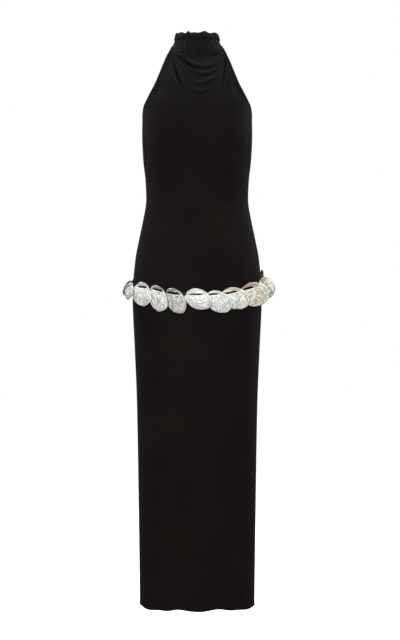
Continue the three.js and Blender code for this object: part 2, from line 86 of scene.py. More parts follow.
# %% Stand the camera in front of the hip
VIEW_DISTANCE = 4.5
VIEW_LEVEL = -0.728
VIEW_ASIDE = 0.0073
SEEN_HEIGHT = 1.664

camera = bpy.data.objects.new("studio_camera", bpy.data.cameras.new("studio_camera"))
camera.data.lens = camera.data.sensor_width * VIEW_DISTANCE / SEEN_HEIGHT
camera.location = (VIEW_ASIDE, -VIEW_DISTANCE, VIEW_LEVEL)
camera.rotation_euler = (math.pi / 2, 0, 0)
bpy.context.scene.collection.objects.link(camera)
bpy.context.scene.camera = camera
print("camera: lens", round(camera.data.lens, 1), "mm")

# %% [markdown]
# ## Nodes written as sums
#
# A finish is a tree of nodes. Long trees are hard to read as boxes and wires, so a small class
# wraps one socket and gives it Python's own operators: an expression on two sockets adds the Math
# nodes behind it. Everything that isn't plain maths comes from one method, which sets a node's
# settings first and then its sockets.

# %% A socket that can be added, multiplied and mixed
class Wire:
    """One output socket of a finish, with the maths that a finish needs."""

    def __init__(self, finish, socket):
        self.finish = finish
        self.socket = socket

    def maths(self, operation, *others):
        values = dict(enumerate((self, *others)))
        return self.finish.node("ShaderNodeMath", {"operation": operation}, values)

    def __add__(self, other):
        return self.maths("ADD", other)

    def __sub__(self, other):
        return self.maths("SUBTRACT", other)

    def __rsub__(self, other):
        return self.finish.node("ShaderNodeMath", {"operation": "SUBTRACT"}, {0: other, 1: self})

    def __mul__(self, other):
        return self.maths("MULTIPLY", other)

    __radd__ = __add__
    __rmul__ = __mul__

    def sine(self):
        return self.maths("SINE")

    def between(self, low, high):
        """0 below low and 1 above high, with a smooth rise."""
        settings = {"interpolation_type": "SMOOTHSTEP"}
        sockets = {"Value": self, "From Min": low, "From Max": high}
        return self.finish.node("ShaderNodeMapRange", settings, sockets)

    def blend(self, first, second):
        """The first colour where this is 0 and the second where it is 1."""
        return self.finish.node(
            "ShaderNodeMix", {"data_type": "RGBA"}, {"Factor": self, 6: first, 7: second}, out=2
        )

    def scaled(self, factor):
        """This vector or colour, times one number or socket."""
        return self.finish.node(
            "ShaderNodeVectorMath", {"operation": "SCALE"}, {0: self, "Scale": factor}
        )


# %% [markdown]
# The finish itself keeps the tree, and its last step hands colour, roughness and bump to the one
# shader that everything here uses. What is the same all over is set on the shader's own sockets.

# %% The tree of one finish, and the one way to add a node
class Finish:
    """A material by name, with a principled shader and any nodes that feed it."""

    def __init__(self, name):
        self.material = bpy.data.materials.new(name)
        self.material.use_nodes = True
        self.tree = self.material.node_tree
        self.shader = self.tree.nodes["Principled BSDF"]

    def plug(self, socket, value):
        if isinstance(value, Wire):
            self.tree.links.new(value.socket, socket)
        elif isinstance(value, tuple) and len(value) == 3 and socket.type == "RGBA":
            socket.default_value = (*value, 1)
        else:
            socket.default_value = value

    def node(self, kind, settings=None, sockets=None, out=0):
        made = self.tree.nodes.new(kind)
        for name, value in (settings or {}).items():
            setattr(made, name, value)
        for name, value in (sockets or {}).items():
            self.plug(made.inputs[name], value)
        return Wire(self, made.outputs[out])

    def attribute(self, name, out=2):
        return self.node("ShaderNodeAttribute", {"attribute_name": name}, out=out)

    def parts_of(self, vector):
        apart = self.node("ShaderNodeSeparateXYZ", sockets={0: vector}).socket.node
        return [Wire(self, socket) for socket in apart.outputs]

    def cloudy(self, place, size, detail=3.0, rough=0.5):
        sockets = {"Vector": place, "Scale": 1 / size, "Detail": detail, "Roughness": rough}
        return self.node("ShaderNodeTexNoise", sockets=sockets)

    def bump(self, height, strength, distance):
        sockets = {"Height": height, "Strength": strength, "Distance": distance}
        return self.node("ShaderNodeBump", sockets=sockets)

    def set(self, **values):
        for name, value in values.items():
            self.plug(self.shader.inputs[name.replace("_", " ")], value)
        return self.material


print("nodes: one class for sockets, one for finishes")

# %% [markdown]
# ## The studio
#
# The dress is shown on clean white. Black cloth shows its form only where soft light slides over
# its folds. Two large lamps stand high up, one to each side, so they brighten what faces up, such
# as the sides of the chest and the top of each fold, and leave the rest deep. A lamp in front
# keeps the shells clear, and two behind draw a faint line down each side. The floor is pale and
# plain, and lies below the hem, because a wearer holds the dress up. It is there for the eye
# alone and throws no light back, as if it were far below.

# %% White surroundings, pale floor and soft lamps
WHITE = (1.0, 1.0, 1.0)
ROOM_LIGHT = 0.3
FLOOR_DROP = 0.16
FLOOR_SIDE = 30.0
FLOOR_GLOW = 0.8
FLOOR_GREY = (0.82, 0.82, 0.82)

world = bpy.data.worlds.new("white_room")
world.use_nodes = True
room = world.node_tree
room_shader = room.nodes["Background"]
room_shader.inputs["Strength"].default_value = ROOM_LIGHT
backdrop = room.nodes.new("ShaderNodeBackground")
for background in (room_shader, backdrop):
    background.inputs["Color"].default_value = (*WHITE, 1)
seen = room.nodes.new("ShaderNodeLightPath")
either = room.nodes.new("ShaderNodeMixShader")
room.links.new(seen.outputs["Is Camera Ray"], either.inputs["Fac"])
room.links.new(room_shader.outputs[0], either.inputs[1])
room.links.new(backdrop.outputs[0], either.inputs[2])
room.links.new(either.outputs[0], room.nodes["World Output"].inputs["Surface"])
bpy.context.scene.world = world
bpy.context.scene.view_settings.view_transform = "Standard"

floor_level = cad_box[0].z - FLOOR_DROP
floor_mesh = bpy.data.meshes.new("pale_floor")
floor_ends = (-FLOOR_SIDE / 2, FLOOR_SIDE / 2)
corners = [(x, y, floor_level) for y in floor_ends for x in floor_ends]
floor_mesh.from_pydata(corners, [], [(0, 1, 3, 2)])
floor = bpy.data.objects.new("pale_floor", floor_mesh)
floor_look = {"Base_Color": FLOOR_GREY, "Roughness": 0.9, "Emission_Color": WHITE}
floor_finish = Finish("pale_floor").set(**floor_look, Emission_Strength=FLOOR_GLOW)
floor_mesh.materials.append(floor_finish)
floor.visible_diffuse = False
floor.visible_glossy = False
bpy.context.scene.collection.objects.link(floor)

LAMP_AIM = Vector((0, 0, -0.7))
COOL = (0.86, 0.95, 1.0)
LAMPS = {
    "left_top": {"at": (-1.4, 0.4, 1.8), "wide": 1.0, "watts": 78, "tint": COOL},
    "right_top": {"at": (1.5, 0.4, 1.8), "wide": 1.0, "watts": 76, "tint": COOL},
    "front": {"at": (-0.3, -3.9, 0.2), "wide": 2.0, "watts": 176},
    "left_edge": {"at": (-2.6, 1.7, 0.2), "wide": 1.6, "watts": 16},
    "right_edge": {"at": (2.6, 1.7, 0.2), "wide": 1.6, "watts": 33},
}
for lamp_name, lamp in LAMPS.items():
    light = bpy.data.lights.new(lamp_name, "AREA")
    light.size = lamp["wide"]
    light.energy = lamp["watts"]
    light.color = lamp.get("tint", WHITE)
    stand = bpy.data.objects.new(lamp_name, light)
    stand.location = lamp["at"]
    stand.rotation_euler = (LAMP_AIM - stand.location).to_track_quat("-Z", "Y").to_euler()
    bpy.context.scene.collection.objects.link(stand)
print("studio: floor at", round(floor_level, 3), "m,", len(LAMPS), "lamps")

# %% [markdown]
# ## The jersey
#
# The cloth is a fine single knit: seen close, small upright columns of loops. Far away it is a soft
# warm black, nearly without shine, that turns a little lighter where it curves away. A low sheen
# gives that edge. Each cloth carries its own place on the panel, across and down, so the columns
# of loops run with the cloth and not with the room. The place's third number says how far a crease
# stands out, and the colour paints light and shade from it: painted shade deep in a crease, in the
# hollow under the neck and in the casing's pinches, and a painted highlight along a ridge and on
# the casing's puffs. The upper chest gets a cooler black, a painted stand-in for the cool lamps
# above it.

# %% Black jersey, and the thread that sews it
# How deep a crease and how high a ridge must be for full painted shade and painted highlight.
CREASE_DEEP, CREASE_PAINTED_SHADE = 3.0 * MM, 0.72
CREASE_HIGH, RIDGE_PAINTED_LIGHT = 2.6 * MM, 0.9
WALE = 0.9 * MM
COURSE = 0.7 * MM
TURN = 2 * math.pi
BLACK = (0.0059, 0.0042, 0.0041)
WARM_BLACK = (0.0081, 0.0050, 0.0048)
# A cooler black on the upper chest, a painted stand-in for the cool lamps above it.
PAINTED_COOL_CHEST_BLACK = (0.0063, 0.0052, 0.0054)
PAINTED_COOL_CHEST_SPAN = (-0.25, -0.08)
LOOP_SHARE, ROW_SHARE, FLUFF_SHARE = 0.6, 0.4, 1.4
FLUFF_SIZE, PATCH_SIZE = 3 * MM, 120 * MM
FLUFF_RANGE, PATCH_RANGE = (0.2, 0.8), (0.35, 0.68)
KNIT_ROUGH, FLUFF_ROUGH = 0.8, 0.1
KNIT_BUMP = (0.35, 0.16 * MM)


def knitted(name, dark, warm, sheen):
    finish = Finish(name)
    place = finish.attribute("cloth_place", out=1)
    across, down, crease = finish.parts_of(place)
    loops = (across * (TURN / WALE)).sine() * LOOP_SHARE
    loops = loops + (down * (TURN / COURSE)).sine() * ROW_SHARE
    fluff = finish.cloudy(place, FLUFF_SIZE)
    patches = finish.cloudy(place, PATCH_SIZE, detail=2.0)
    tone = patches.between(*PATCH_RANGE)
    # Painted shade deep in a crease and a painted highlight along a ridge, laid into the base
    # colour.
    painted_crease_shade = crease.between(-CREASE_DEEP, 0) * CREASE_PAINTED_SHADE + (1 - CREASE_PAINTED_SHADE)
    painted_light_and_shade = crease.between(0, CREASE_HIGH) * RIDGE_PAINTED_LIGHT + painted_crease_shade
    # The upper chest turns to the cooler black: painted light.
    painted_cool_chest = down.between(*PAINTED_COOL_CHEST_SPAN)
    return finish.set(
        Base_Color=painted_cool_chest.blend(tone.blend(dark, warm), PAINTED_COOL_CHEST_BLACK).scaled(painted_light_and_shade),
        Roughness=fluff.between(*FLUFF_RANGE) * FLUFF_ROUGH + KNIT_ROUGH,
        Normal=finish.bump(loops + fluff * FLUFF_SHARE, *KNIT_BUMP),
        Specular_IOR_Level=0.04,
        Sheen_Weight=sheen,
        Sheen_Roughness=0.45,
        Sheen_Tint=(1.0, 0.94, 0.94),
    )


jersey = knitted("black_jersey", BLACK, WARM_BLACK, 0.008)

thread_finish = Finish("black_thread")
THREAD_DARK, THREAD_LIGHT = (0.0035, 0.0028, 0.0028), (0.007, 0.006, 0.006)
TWIST, TWIST_RANGE = 0.6 * MM, (0.3, 0.7)
thread_place = thread_finish.attribute("cloth_place", out=1)
twist = thread_finish.cloudy(thread_place, TWIST)
thread = thread_finish.set(
    Base_Color=twist.between(*TWIST_RANGE).blend(THREAD_DARK, THREAD_LIGHT),
    Roughness=0.85,
    Specular_IOR_Level=0.08,
)
print("finishes:", jersey.name, thread.name)

# %% [markdown]
# ## The body under the cloth
#
# No wearer is built, but the dress keeps the form of one. A short table gives that form level by
# level: half its width, how deep it is in front and behind, and how far out the front panel
# reaches. A monotone curve joins the levels, because a plain spline would bulge between them. One
# level's outline is a soft superellipse. All sections are worked out at once, a millimetre apart,
# and a place on the body is then looked up by its share of the way from front centre to back
# centre and its level.

# %% The figure, level by level
FIGURE_COLUMNS = ("level", "half", "front", "back", "edge")
FIGURE = np.array(
    [
        (-2, 57.8, 55, 52, 57.8),
        (-9, 59.4, 57.5, 54, 59.4),
        (-16, 63.4, 60, 57, 63.4),
        (-30, 82, 65, 64, 69.6),
        (-47, 102, 71, 70, 77.8),
        (-80, 127, 84, 80, 90.8),
        (-122, 143, 101, 84, 107.8),
        (-162, 145, 113, 86, 129.6),
        (-180, 143.2, 117, 87, 138.8),
        (-192, 142.4, 118, 87, 141),
        (-247, 143.3, 120, 88, 131.5),
        (-312, 140.4, 106, 80, 128.5),
        (-369, 134.3, 96, 72, 132.5),
        (-416, 132.5, 92, 69, 132.5),
        (-468, 140.4, 94, 77, 140.4),
        (-520, 151.3, 99, 93, 151.3),
        (-572, 160.9, 103, 107, 160.9),
        (-663, 168, 105, 118, 168),
        (-806, 162.2, 99, 107, 162.2),
        (-936, 156.9, 92, 96, 156.9),
        (-1222, 152, 85, 87, 152),
        (-1478, 148.9, 82, 83, 148.9),
    ]
)
ROUNDNESS = 2.2
SECTION_STEPS = 160
SHARES = 480
LOWEST = 1490


def smooth_column(name):
    """A curve through one column of the figure, with no overshoot between its levels."""
    levels = FIGURE[:, 0]
    values = FIGURE[:, FIGURE_COLUMNS.index(name)]
    slope = np.diff(values) / np.diff(levels)
    before = np.concatenate([slope[:1], slope])
    after = np.concatenate([slope, slope[-1:]])
    agree = before * after > 0
    tangent = np.where(agree, 2 * before * after / np.where(agree, before + after, 1), 0)

    def at(z):
        i = np.clip(np.searchsorted(-levels, -z) - 1, 0, len(levels) - 2)
        span = levels[i + 1] - levels[i]
        t = np.clip((z - levels[i]) / span, 0, 1)
        bend = t * (1 - t) * span * ((1 - t) * tangent[i] - t * tangent[i + 1])
        return values[i] + (values[i + 1] - values[i]) * t * t * (3 - 2 * t) + bend

    return at


def all_sections():
    """Points, outward normals and arc lengths of half the body, at every millimetre of height."""
    z = -np.arange(LOWEST, dtype=float)[:, None]
    half, front, back = (smooth_column(name)(z) for name in ("half", "front", "back"))
    turn = np.linspace(0, np.pi, SECTION_STEPS + 1)[None]
    power = 2 / ROUNDNESS
    across = np.cos(turn)
    x = half * np.sin(turn) ** power
    x[:, -1] = 0
    y = np.where(across > 0, -front, back) * np.abs(across) ** power
    wide_x = np.concatenate([-x[:, 1:2], x, -x[:, -2:-1]], axis=1)
    wide_y = np.concatenate([y[:, 1:2], y, y[:, -2:-1]], axis=1)
    run_x = wide_x[:, 2:] - wide_x[:, :-2]
    run_y = wide_y[:, 2:] - wide_y[:, :-2]
    run = np.hypot(run_x, run_y)
    arc = np.concatenate([0 * z, np.cumsum(np.hypot(np.diff(x), np.diff(y)), axis=1)], axis=1)
    edge = smooth_column("edge")(z)
    place = np.arcsin(np.minimum((edge / half) ** (ROUNDNESS / 2), 1)) / np.pi * SECTION_STEPS
    steps = np.arange(SECTION_STEPS + 1)
    seam = np.array([np.interp(p, steps, a) for p, a in zip(place[:, 0], arc)])
    whole = arc[:, -1]
    shares = np.linspace(0, 1, SHARES + 1)
    columns = [
        np.array([np.interp(shares * w, a, v) for w, a, v in zip(whole, arc, values)])
        for values in (x, y, run_y / run, -run_x / run)
    ]
    return np.stack(columns, axis=-1), whole, seam


SECTIONS, WHOLES, SEAMS = all_sections()


def whole_at(z):
    return np.interp(-z, np.arange(LOWEST), WHOLES)


def seam_at(z):
    return np.interp(-z, np.arange(LOWEST), SEAMS)


def on_body(share, z):
    """x, y and the outward normal at a share of the way round, negative on the viewer's left."""
    level = np.clip(-z, 0, LOWEST - 1.001)
    column = np.clip(np.abs(share), 0, 1) * SHARES
    i = level.astype(int)
    k = np.minimum(column.astype(int), SHARES - 1)
    u = (level - i)[..., None]
    v = (column - k)[..., None]
    upper = SECTIONS[i, k] * (1 - v) + SECTIONS[i, k + 1] * v
    lower = SECTIONS[i + 1, k] * (1 - v) + SECTIONS[i + 1, k + 1] * v
    x, y, nx, ny = np.moveaxis(upper * (1 - u) + lower * u, -1, 0)
    side = np.where(share < 0, -1.0, 1.0)
    size = np.hypot(nx, ny)
    return side * x, y, side * nx / size, ny / size


print("body: hip girth", round(2 * float(whole_at(-663.0))), "mm")

# %% [markdown]
# ## Folds
#
# Under the gathered neck the spare cloth hangs in a soft cowl. On the real dress these folds are
# where the gathers let go, so they are laid one by one, as bent lines with a width and a lift. A
# ridge lifts the cloth and a crease sinks it. Cloth simulation would give other folds than these,
# so it isn't used. The first lines are the large ones that the frame has too, and the rest are the
# fine creases between them.

# %% The folds of the cowl, as bent lines across the front
# Each fold: from x, from z, by x, by z, to x, to z, width, lift
COWL = {
    "left slash": (-56, -50, -28, -64, 3, -98, 6.5, -4),
    "upper smile": (-36, -64, 12, -84, 55, -65, 6, 2.8),
    "second smile": (-16, -90, 14, -107, 53, -80, 6, 2.6),
    "third smile": (-2, -125, 30, -125, 55, -92, 6, 2.6),
    "lowest smile": (-6, -140, 9, -153, 25, -135, 6, 1.8),
    "neck slash": (61, -39, 45, -50, 28, -53, 6, -3.5),
    "left fall": (-62, -54, -53, -105, -37, -139, 7, -3.5),
    "right fall": (74, -48, 66, -98, 60, -146, 7, -3.5),
    "left armhole": (-90, -106, -97, -128, -101, -156, 7, -3),
    "right armhole": (95, -118, 102, -140, 108, -166, 7, -3),
}
# The fine creases also paint the colour: painted shade in each crease and a painted highlight on
# each ridge.
FINE_CREASES = {
    "slash core": (-55, -52, -27, -66, 1, -97, 2.1, -3.8),
    "slash ridge": (-50, -45, -22, -58, 8, -88, 2.6, 2.2),
    "under first smile": (-22, -75, 13, -96, 56, -75, 2.0, -2.3),
    "under second smile": (-30, -84, 22, -126, 56, -84, 2.1, -2.4),
    "under third smile": (0, -131, 28, -132, 55, -107, 2.0, -2.2),
    "under lowest smile": (-4, -148, 9, -160, 24, -143, 1.9, -1.7),
    "first smile ridge": (-22, -66, 15, -88, 58, -67, 1.8, 2.7),
    "second smile ridge": (-34, -76, 22, -118, 58, -76, 1.8, 2.6),
    "third smile ridge": (-2, -123, 28, -124, 56, -98, 1.8, 2.5),
    "lowest smile ridge": (-4, -141, 10, -153, 31, -136, 1.7, 2.1),
    "left fall core": (-63, -58, -54, -102, -37, -138, 2.2, -3.6),
    "left fall ridge": (-69, -60, -61, -104, -46, -140, 2.8, 1.9),
    "right fall core": (75, -54, 71, -94, 64, -139, 1.9, -3.0),
    "right fall ridge": (80, -62, 74, -100, 68, -142, 2.8, 1.7),
    "right fall second": (83, -96, 80, -116, 74, -134, 2.0, -1.5),
    "short dash": (-46, -42, -40, -43, -34, -46, 1.7, -2.6),
    "under short dash": (-46, -46, -38, -48, -30, -51, 1.7, 1.6),
    "left streak": (-36, -12, -36, -38, -34, -62, 1.9, -2.2),
    "second streak": (-24, -10, -25, -34, -22, -58, 1.8, -1.9),
    "right streak": (24, -10, 24, -26, 21, -46, 1.9, -1.5),
    "right nick": (74, -84, 77, -92, 79, -102, 1.9, -2.2),
    "neck slash core": (60, -41, 45, -51, 30, -54, 1.8, -2.6),
    "under neck slash": (62, -47, 50, -56, 38, -58, 1.7, 1.7),
    "left shoulder": (-64, -34, -72, -60, -80, -92, 5, -1.6),
    "right shoulder": (66, -36, 76, -66, 84, -100, 5, -1.6),
}
BACK_CREASES = {
    "small of back": (-70, -404, -8, -422, 58, -400, 9, -2.4),
    "above it": (-46, -372, 12, -386, 72, -366, 8, -1.8),
    "below it": (-40, -438, 20, -452, 80, -430, 9, -1.9),
    "left drag": (-112, -420, -92, -470, -50, -520, 10, -1.7),
    "right drag": (108, -428, 96, -484, 64, -548, 11, -1.9),
}
# The hollow under the neck sinks a little, and its dark amount is painted shade laid over it.
HOLLOW = {"x": 5, "z": -50, "wide": 32, "tall": 26, "lift": -2.4, "dark": 1.7}
FOLD_END = 0.35
FOLD_STEPS = 28


def bell(distance, width):
    return np.exp(-((distance / width) ** 2))


def mound(u, v):
    return np.exp(-(u**2) - v**2)


def ramp(value):
    t = np.clip(value, 0, 1)
    return t * t * (3 - 2 * t)


def folds_lift(folds, x, z):
    """How far a set of folds lifts the cloth at each place."""
    t = np.linspace(0, 1, FOLD_STEPS + 1)
    lift = np.zeros_like(x)
    for x0, z0, x1, z1, x2, z2, width, height in folds.values():
        line_x = (1 - t) ** 2 * x0 + 2 * t * (1 - t) * x1 + t**2 * x2
        line_z = (1 - t) ** 2 * z0 + 2 * t * (1 - t) * z1 + t**2 * z2
        away = np.hypot(x[..., None] - line_x, z[..., None] - line_z)
        nearest = away.argmin(axis=-1)
        fade = FOLD_END + (1 - FOLD_END) * np.sin(np.pi * t[nearest])
        lift += height * fade * bell(away.min(axis=-1), width)
    return lift


print("folds:", len(COWL), "large,", len(FINE_CREASES), "fine,", len(BACK_CREASES), "behind")

# %% [markdown]
# The casing at the neck is gathered, and its gathers run on into the cloth below as short pleats
# that fade. The skirt hangs straight, in long troughs that start at the thigh and deepen to the
# hem. Between underarm and waist the cloth sinks just behind each side seam.

# %% Pleats, troughs and the valley at the side seam
# Each pleat: share, width, lift, length
PLEATS = [
    (-0.47, 0.012, 1.3, 22), (-0.42, 0.01, -1.2, 30), (-0.37, 0.012, 1.2, 26),
    (-0.31, 0.011, -1.4, 34), (-0.26, 0.013, 1.3, 30), (-0.205, 0.011, -1.6, 40),
    (-0.15, 0.012, 1.2, 34), (-0.09, 0.012, -1.1, 24), (-0.03, 0.014, 0.9, 18),
    (0.035, 0.012, -1.0, 22), (0.085, 0.011, 1.1, 26), (0.135, 0.012, -1.4, 36),
    (0.19, 0.013, 1.3, 30), (0.245, 0.011, -1.3, 28), (0.3, 0.012, 1.2, 34),
    (0.36, 0.012, -1.4, 30), (0.41, 0.011, 1.1, 22), (0.46, 0.012, -1.2, 26),
    (0.55, 0.014, 1.0, 20), (0.62, 0.013, -1.1, 20), (0.7, 0.015, 1.2, 20),
    (0.79, 0.013, -1.2, 20), (0.88, 0.015, 1.1, 20), (0.96, 0.013, -1.0, 20),
    (-0.56, 0.014, -1.1, 20), (-0.65, 0.014, 1.1, 20), (-0.74, 0.013, -1.2, 20),
    (-0.83, 0.015, 1.2, 20), (-0.92, 0.013, -1.0, 20),
]
# Each trough: panel, x, top, width, depth
TROUGHS = [
    ("front", -27, -790, 17, 7),
    ("front", 36, -1040, 15, 4),
    ("front", -92, -1120, 18, 3),
    ("front", 98, -960, 20, 3),
    ("back", 24, -820, 19, 6),
    ("back", -44, -1010, 16, 4.5),
    ("back", 96, -1090, 18, 3),
    ("back", -104, -900, 20, 3.5),
]
VALLEY = {"top": -215, "foot": -372, "behind": 6, "width": 6, "depth": 3}
NECK_TOP = -2.5
HEM = -1474


def drape(panel, share, x, z, past_seam):
    """How far out of the smooth body the cloth stands, and its fine creases for painted shading."""
    lift, crease = np.zeros_like(x), np.zeros_like(x)
    if panel == "front":
        fine = folds_lift(FINE_CREASES, x, z)
        hollow = mound((x - HOLLOW["x"]) / HOLLOW["wide"], (z - HOLLOW["z"]) / HOLLOW["tall"])
        lift += folds_lift(COWL, x, z) + fine + HOLLOW["lift"] * hollow
        # The fine creases carry their painted shade and highlight, and the hollow adds painted
        # shade.
        crease = fine - HOLLOW["dark"] * hollow
    if panel == "back":
        lift += folds_lift(BACK_CREASES, x, z)
    for at, width, height, length in PLEATS:
        lift += height * bell(share - at, width) * bell(z - NECK_TOP, length)
    for where, at, top, width, depth in TROUGHS:
        if where == panel:
            lift -= depth * ramp((top - z) / (top - HEM)) * bell(x - at, width)
    inside = (z < VALLEY["top"]) & (z > VALLEY["foot"])
    along = np.sin(np.pi * (VALLEY["top"] - z) / (VALLEY["top"] - VALLEY["foot"]))
    valley = VALLEY["depth"] * along * bell(past_seam - VALLEY["behind"], VALLEY["width"])
    return lift - np.where(inside, valley, 0), crease


print("pleats:", len(PLEATS), "troughs:", len(TROUGHS))

# %% [markdown]
# ## Cloth as a thin sheet
#
# Each panel is a grid: rows down, columns across. The outer skin is the body plus its drape, and
# the inner skin lies one cloth thickness behind it, so the panel has real edges. Where an edge is
# turned and stitched, the cloth is double: a narrow band stands a little proud and a groove shows
# where the needle went. At a seam the cloth dips, and the two panels all but touch, as sewn ones
# do.

# %% From grids of points to a mesh with two skins
CLOTH = 1.3
SEAM_GAP = 0.04
SEAM_DIP = {"depth": 0.8, "width": 1.7}
TURNING = {"wide": 7.0, "rise": 1.5, "proud": 0.55, "groove": 0.5, "groove_wide": 0.8}
SEWN_AT = TURNING["wide"] - 1
TURNED_REACH = TURNING["wide"] + 3
NECK_ROLL = {"depth": 0.9, "width": 2.6}
SHARP_ANGLE = math.radians(50)
CROWDING = 1.25


def grid_faces(rows, columns, closed):
    """The quads of a grid, turned so that they face out when columns run to the right."""
    steps = columns if closed else columns - 1
    r, c = np.meshgrid(np.arange(rows - 1), np.arange(steps), indexing="ij")
    right = (c + 1) % columns
    here, across = r * columns + c, r * columns + right
    below, opposite = here + columns, across + columns
    return np.stack([here, below, opposite, across], axis=-1).reshape(-1, 4)


def border_loop(rows, columns):
    """The grid's outline, walked once round."""
    top = np.arange(columns)
    right = np.arange(1, rows) * columns + columns - 1
    foot = (rows - 1) * columns + np.arange(columns - 2, -1, -1)
    left = np.arange(rows - 2, 0, -1) * columns
    return np.concatenate([top, right, foot, left])


def mesh_of(name, points, faces, finish, attributes):
    """A mesh in metres from points in millimetres, smooth but for its sharp edges."""
    mesh = bpy.data.meshes.new(name)
    mesh.from_pydata((np.asarray(points) * MM).tolist(), [], [list(map(int, f)) for f in faces])
    for label, (kind, values) in attributes.items():
        layer = mesh.attributes.new(label, kind, "POINT")
        key = {"FLOAT_VECTOR": "vector", "FLOAT_COLOR": "color", "FLOAT": "value"}[kind]
        layer.data.foreach_set(key, np.asarray(values, dtype=np.float32).ravel())
    mesh.shade_smooth()
    mesh.set_sharp_from_angle(angle=SHARP_ANGLE)
    mesh.validate()
    mesh.materials.append(finish)
    return mesh


def dressed(name, mesh, slot, *nodes):
    """A piece of the dress: it rides on the one body, and stands for the nodes that it covers."""
    made = bpy.data.objects.new(name, mesh)
    bpy.context.scene.collection.objects.link(made)
    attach(made, "root")
    if nodes:
        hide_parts(*nodes)
    return made


def jersey_sheet(name, node, outer, inner, place):
    """A closed sheet of jersey from two grids of points, with each point's place on the cloth."""
    rows, columns = outer.shape[:2]
    count = rows * columns
    front = grid_faces(rows, columns, closed=False)
    back = front[:, ::-1] + count
    loop = border_loop(rows, columns)
    following = np.roll(loop, -1)
    rim = np.stack([loop, following, following + count, loop + count], axis=-1)
    points = np.concatenate([outer.reshape(-1, 3), inner.reshape(-1, 3)])
    spots = np.concatenate([place.reshape(-1, 3)] * 2) * MM
    faces = np.concatenate([front, back, rim])
    mesh = mesh_of(name, points, faces, jersey, {"cloth_place": ("FLOAT_VECTOR", spots)})
    return dressed(name, mesh, "jersey", node)


def cloth_skins(panel, share, z, edge_away, turned):
    """The outer and the inner skin of a panel, and each point's place on the cloth."""
    x, y, nx, ny = on_body(share, z)
    whole = whole_at(z)
    past_seam = np.abs(share) * whole - seam_at(z)
    lift, crease = drape(panel, share, x, z, past_seam)
    band = TURNING["proud"] * ramp((TURNING["wide"] - edge_away) / TURNING["rise"])
    groove = TURNING["groove"] * bell(edge_away - SEWN_AT, TURNING["groove_wide"])
    lift += np.where(turned, band - groove, 0)
    lift -= np.where(turned, 0, SEAM_DIP["depth"] * bell(np.abs(past_seam), SEAM_DIP["width"]))
    lift -= NECK_ROLL["depth"] * bell(z - NECK_TOP, NECK_ROLL["width"])
    # The third number carries the painted shade and highlight to the finish.
    place = np.stack([share * whole, z, crease], axis=-1)
    outer, inner = (
        np.stack([x + nx * out, y + ny * out, z], axis=-1) for out in (lift, lift - CLOTH)
    )
    return outer, inner, place


def levels(start, *stretches):
    """Places along a line: each stretch has its end and its number of steps."""
    made = [float(start)]
    for end, steps in stretches:
        made.extend(np.linspace(made[-1], end, steps + 1)[1:])
    return np.array(made)


def crowded(count):
    """Places from 0 to 1 that crowd together towards both ends."""
    t = np.linspace(-1, 1, count)
    return (np.sign(t) * (1 - (1 - np.abs(t)) ** CROWDING) + 1) / 2


print("sheet: two skins", CLOTH, "mm apart")

# %% [markdown]
# ### The front panel
#
# It is cut in one from the high neck to the hem. Its upper edges are the halter armholes, which
# are turned and stitched, and from the underarm down its sides are seams. The hem is turned up in a
# welt, and its edge hangs in soft waves, each of them laid as a bell along the width.

# %% Make the front panel
UNDERARM = -192
HEM_WELT = {"up": 9.0, "apart": 2.4, "over": 4, "rise": 2, "thick": 0.5}
HEM_GROOVE = {"deep": 0.35, "wide": 0.8}
# Each wave: x, width, rise
HEM_WAVES = [
    (-150, 15, 9), (-49, 20, 5), (56, 25, 6), (150, 14, 6), (-100, 16, 1.5), (108, 16, 1.5),
]
HEM_WAVE_REACH = 90
NAPE_FOOT = -16


def front_skins(t, z):
    """The front panel's skins at shares t from -1 to 1 of its width, at levels z."""
    reach = (seam_at(z) - SEAM_GAP / 2) / whole_at(z)
    share = reach * t
    edge_away = (1 - np.abs(t)) * seam_at(z)
    turned = (z > UNDERARM) & (z < NAPE_FOOT)
    return cloth_skins("front", share, z, edge_away, turned)


def hem_shape(skins, z):
    """Turns up the hem in soft waves: a thicker welt, with a groove for each of its two seams."""
    outer, inner, place = skins
    up = z - HEM
    wave = sum(rise * bell(outer[..., 0] - x, width) for x, width, rise in HEM_WAVES)
    rise = np.stack([0 * z, 0 * z, wave * ramp(1 - up / HEM_WAVE_REACH)], axis=-1)
    thick = HEM_WELT["thick"] * ramp((HEM_WELT["up"] + HEM_WELT["over"] - up) / HEM_WELT["rise"])
    over_seam = up - HEM_WELT["up"]
    grooves = bell(over_seam, HEM_GROOVE["wide"])
    grooves = grooves + bell(over_seam - HEM_WELT["apart"], HEM_GROOVE["wide"])
    across = outer - inner
    size = np.linalg.norm(across, axis=-1, keepdims=True)
    proud = across / size * (thick - HEM_GROOVE["deep"] * grooves)[..., None]
    return outer + rise + proud, inner + rise, place


front_columns = levels(-1, (-0.93, 11), (0.93, 150), (1, 11))
front_levels = levels(
    NECK_TOP, (-20, 14), (-166, 132), (-230, 18), (-420, 18), (-700, 20), (HEM + 16, 38), (HEM, 12)
)
front_t, front_z = np.meshgrid(front_columns, front_levels)
front_hemmed = hem_shape(front_skins(front_t, front_z), front_z)
front_cloth = jersey_sheet("front_cloth", "front_panel", *front_hemmed)
print("front_cloth:", len(front_cloth.data.polygons), "faces")

# %% [markdown]
# ### The back panel and the band at the nape
#
# The picture doesn't show the back. It is finished plainly: a panel that ends in a soft scoop
# under the shoulder blades, turned and stitched like the armholes, and a narrow band that closes
# the high neck behind.

# %% Make the back panel and the nape band
SCOOP_FOOT = -292
SCOOP_SLANT, NAPE_SLANT = 0.85, 0.8
SEAM_CLEAR = 2


def scoop_at(across):
    """The level of the back panel's top edge."""
    return UNDERARM + (SCOOP_FOOT - UNDERARM) * ramp(1 - np.abs(2 * across - 1))


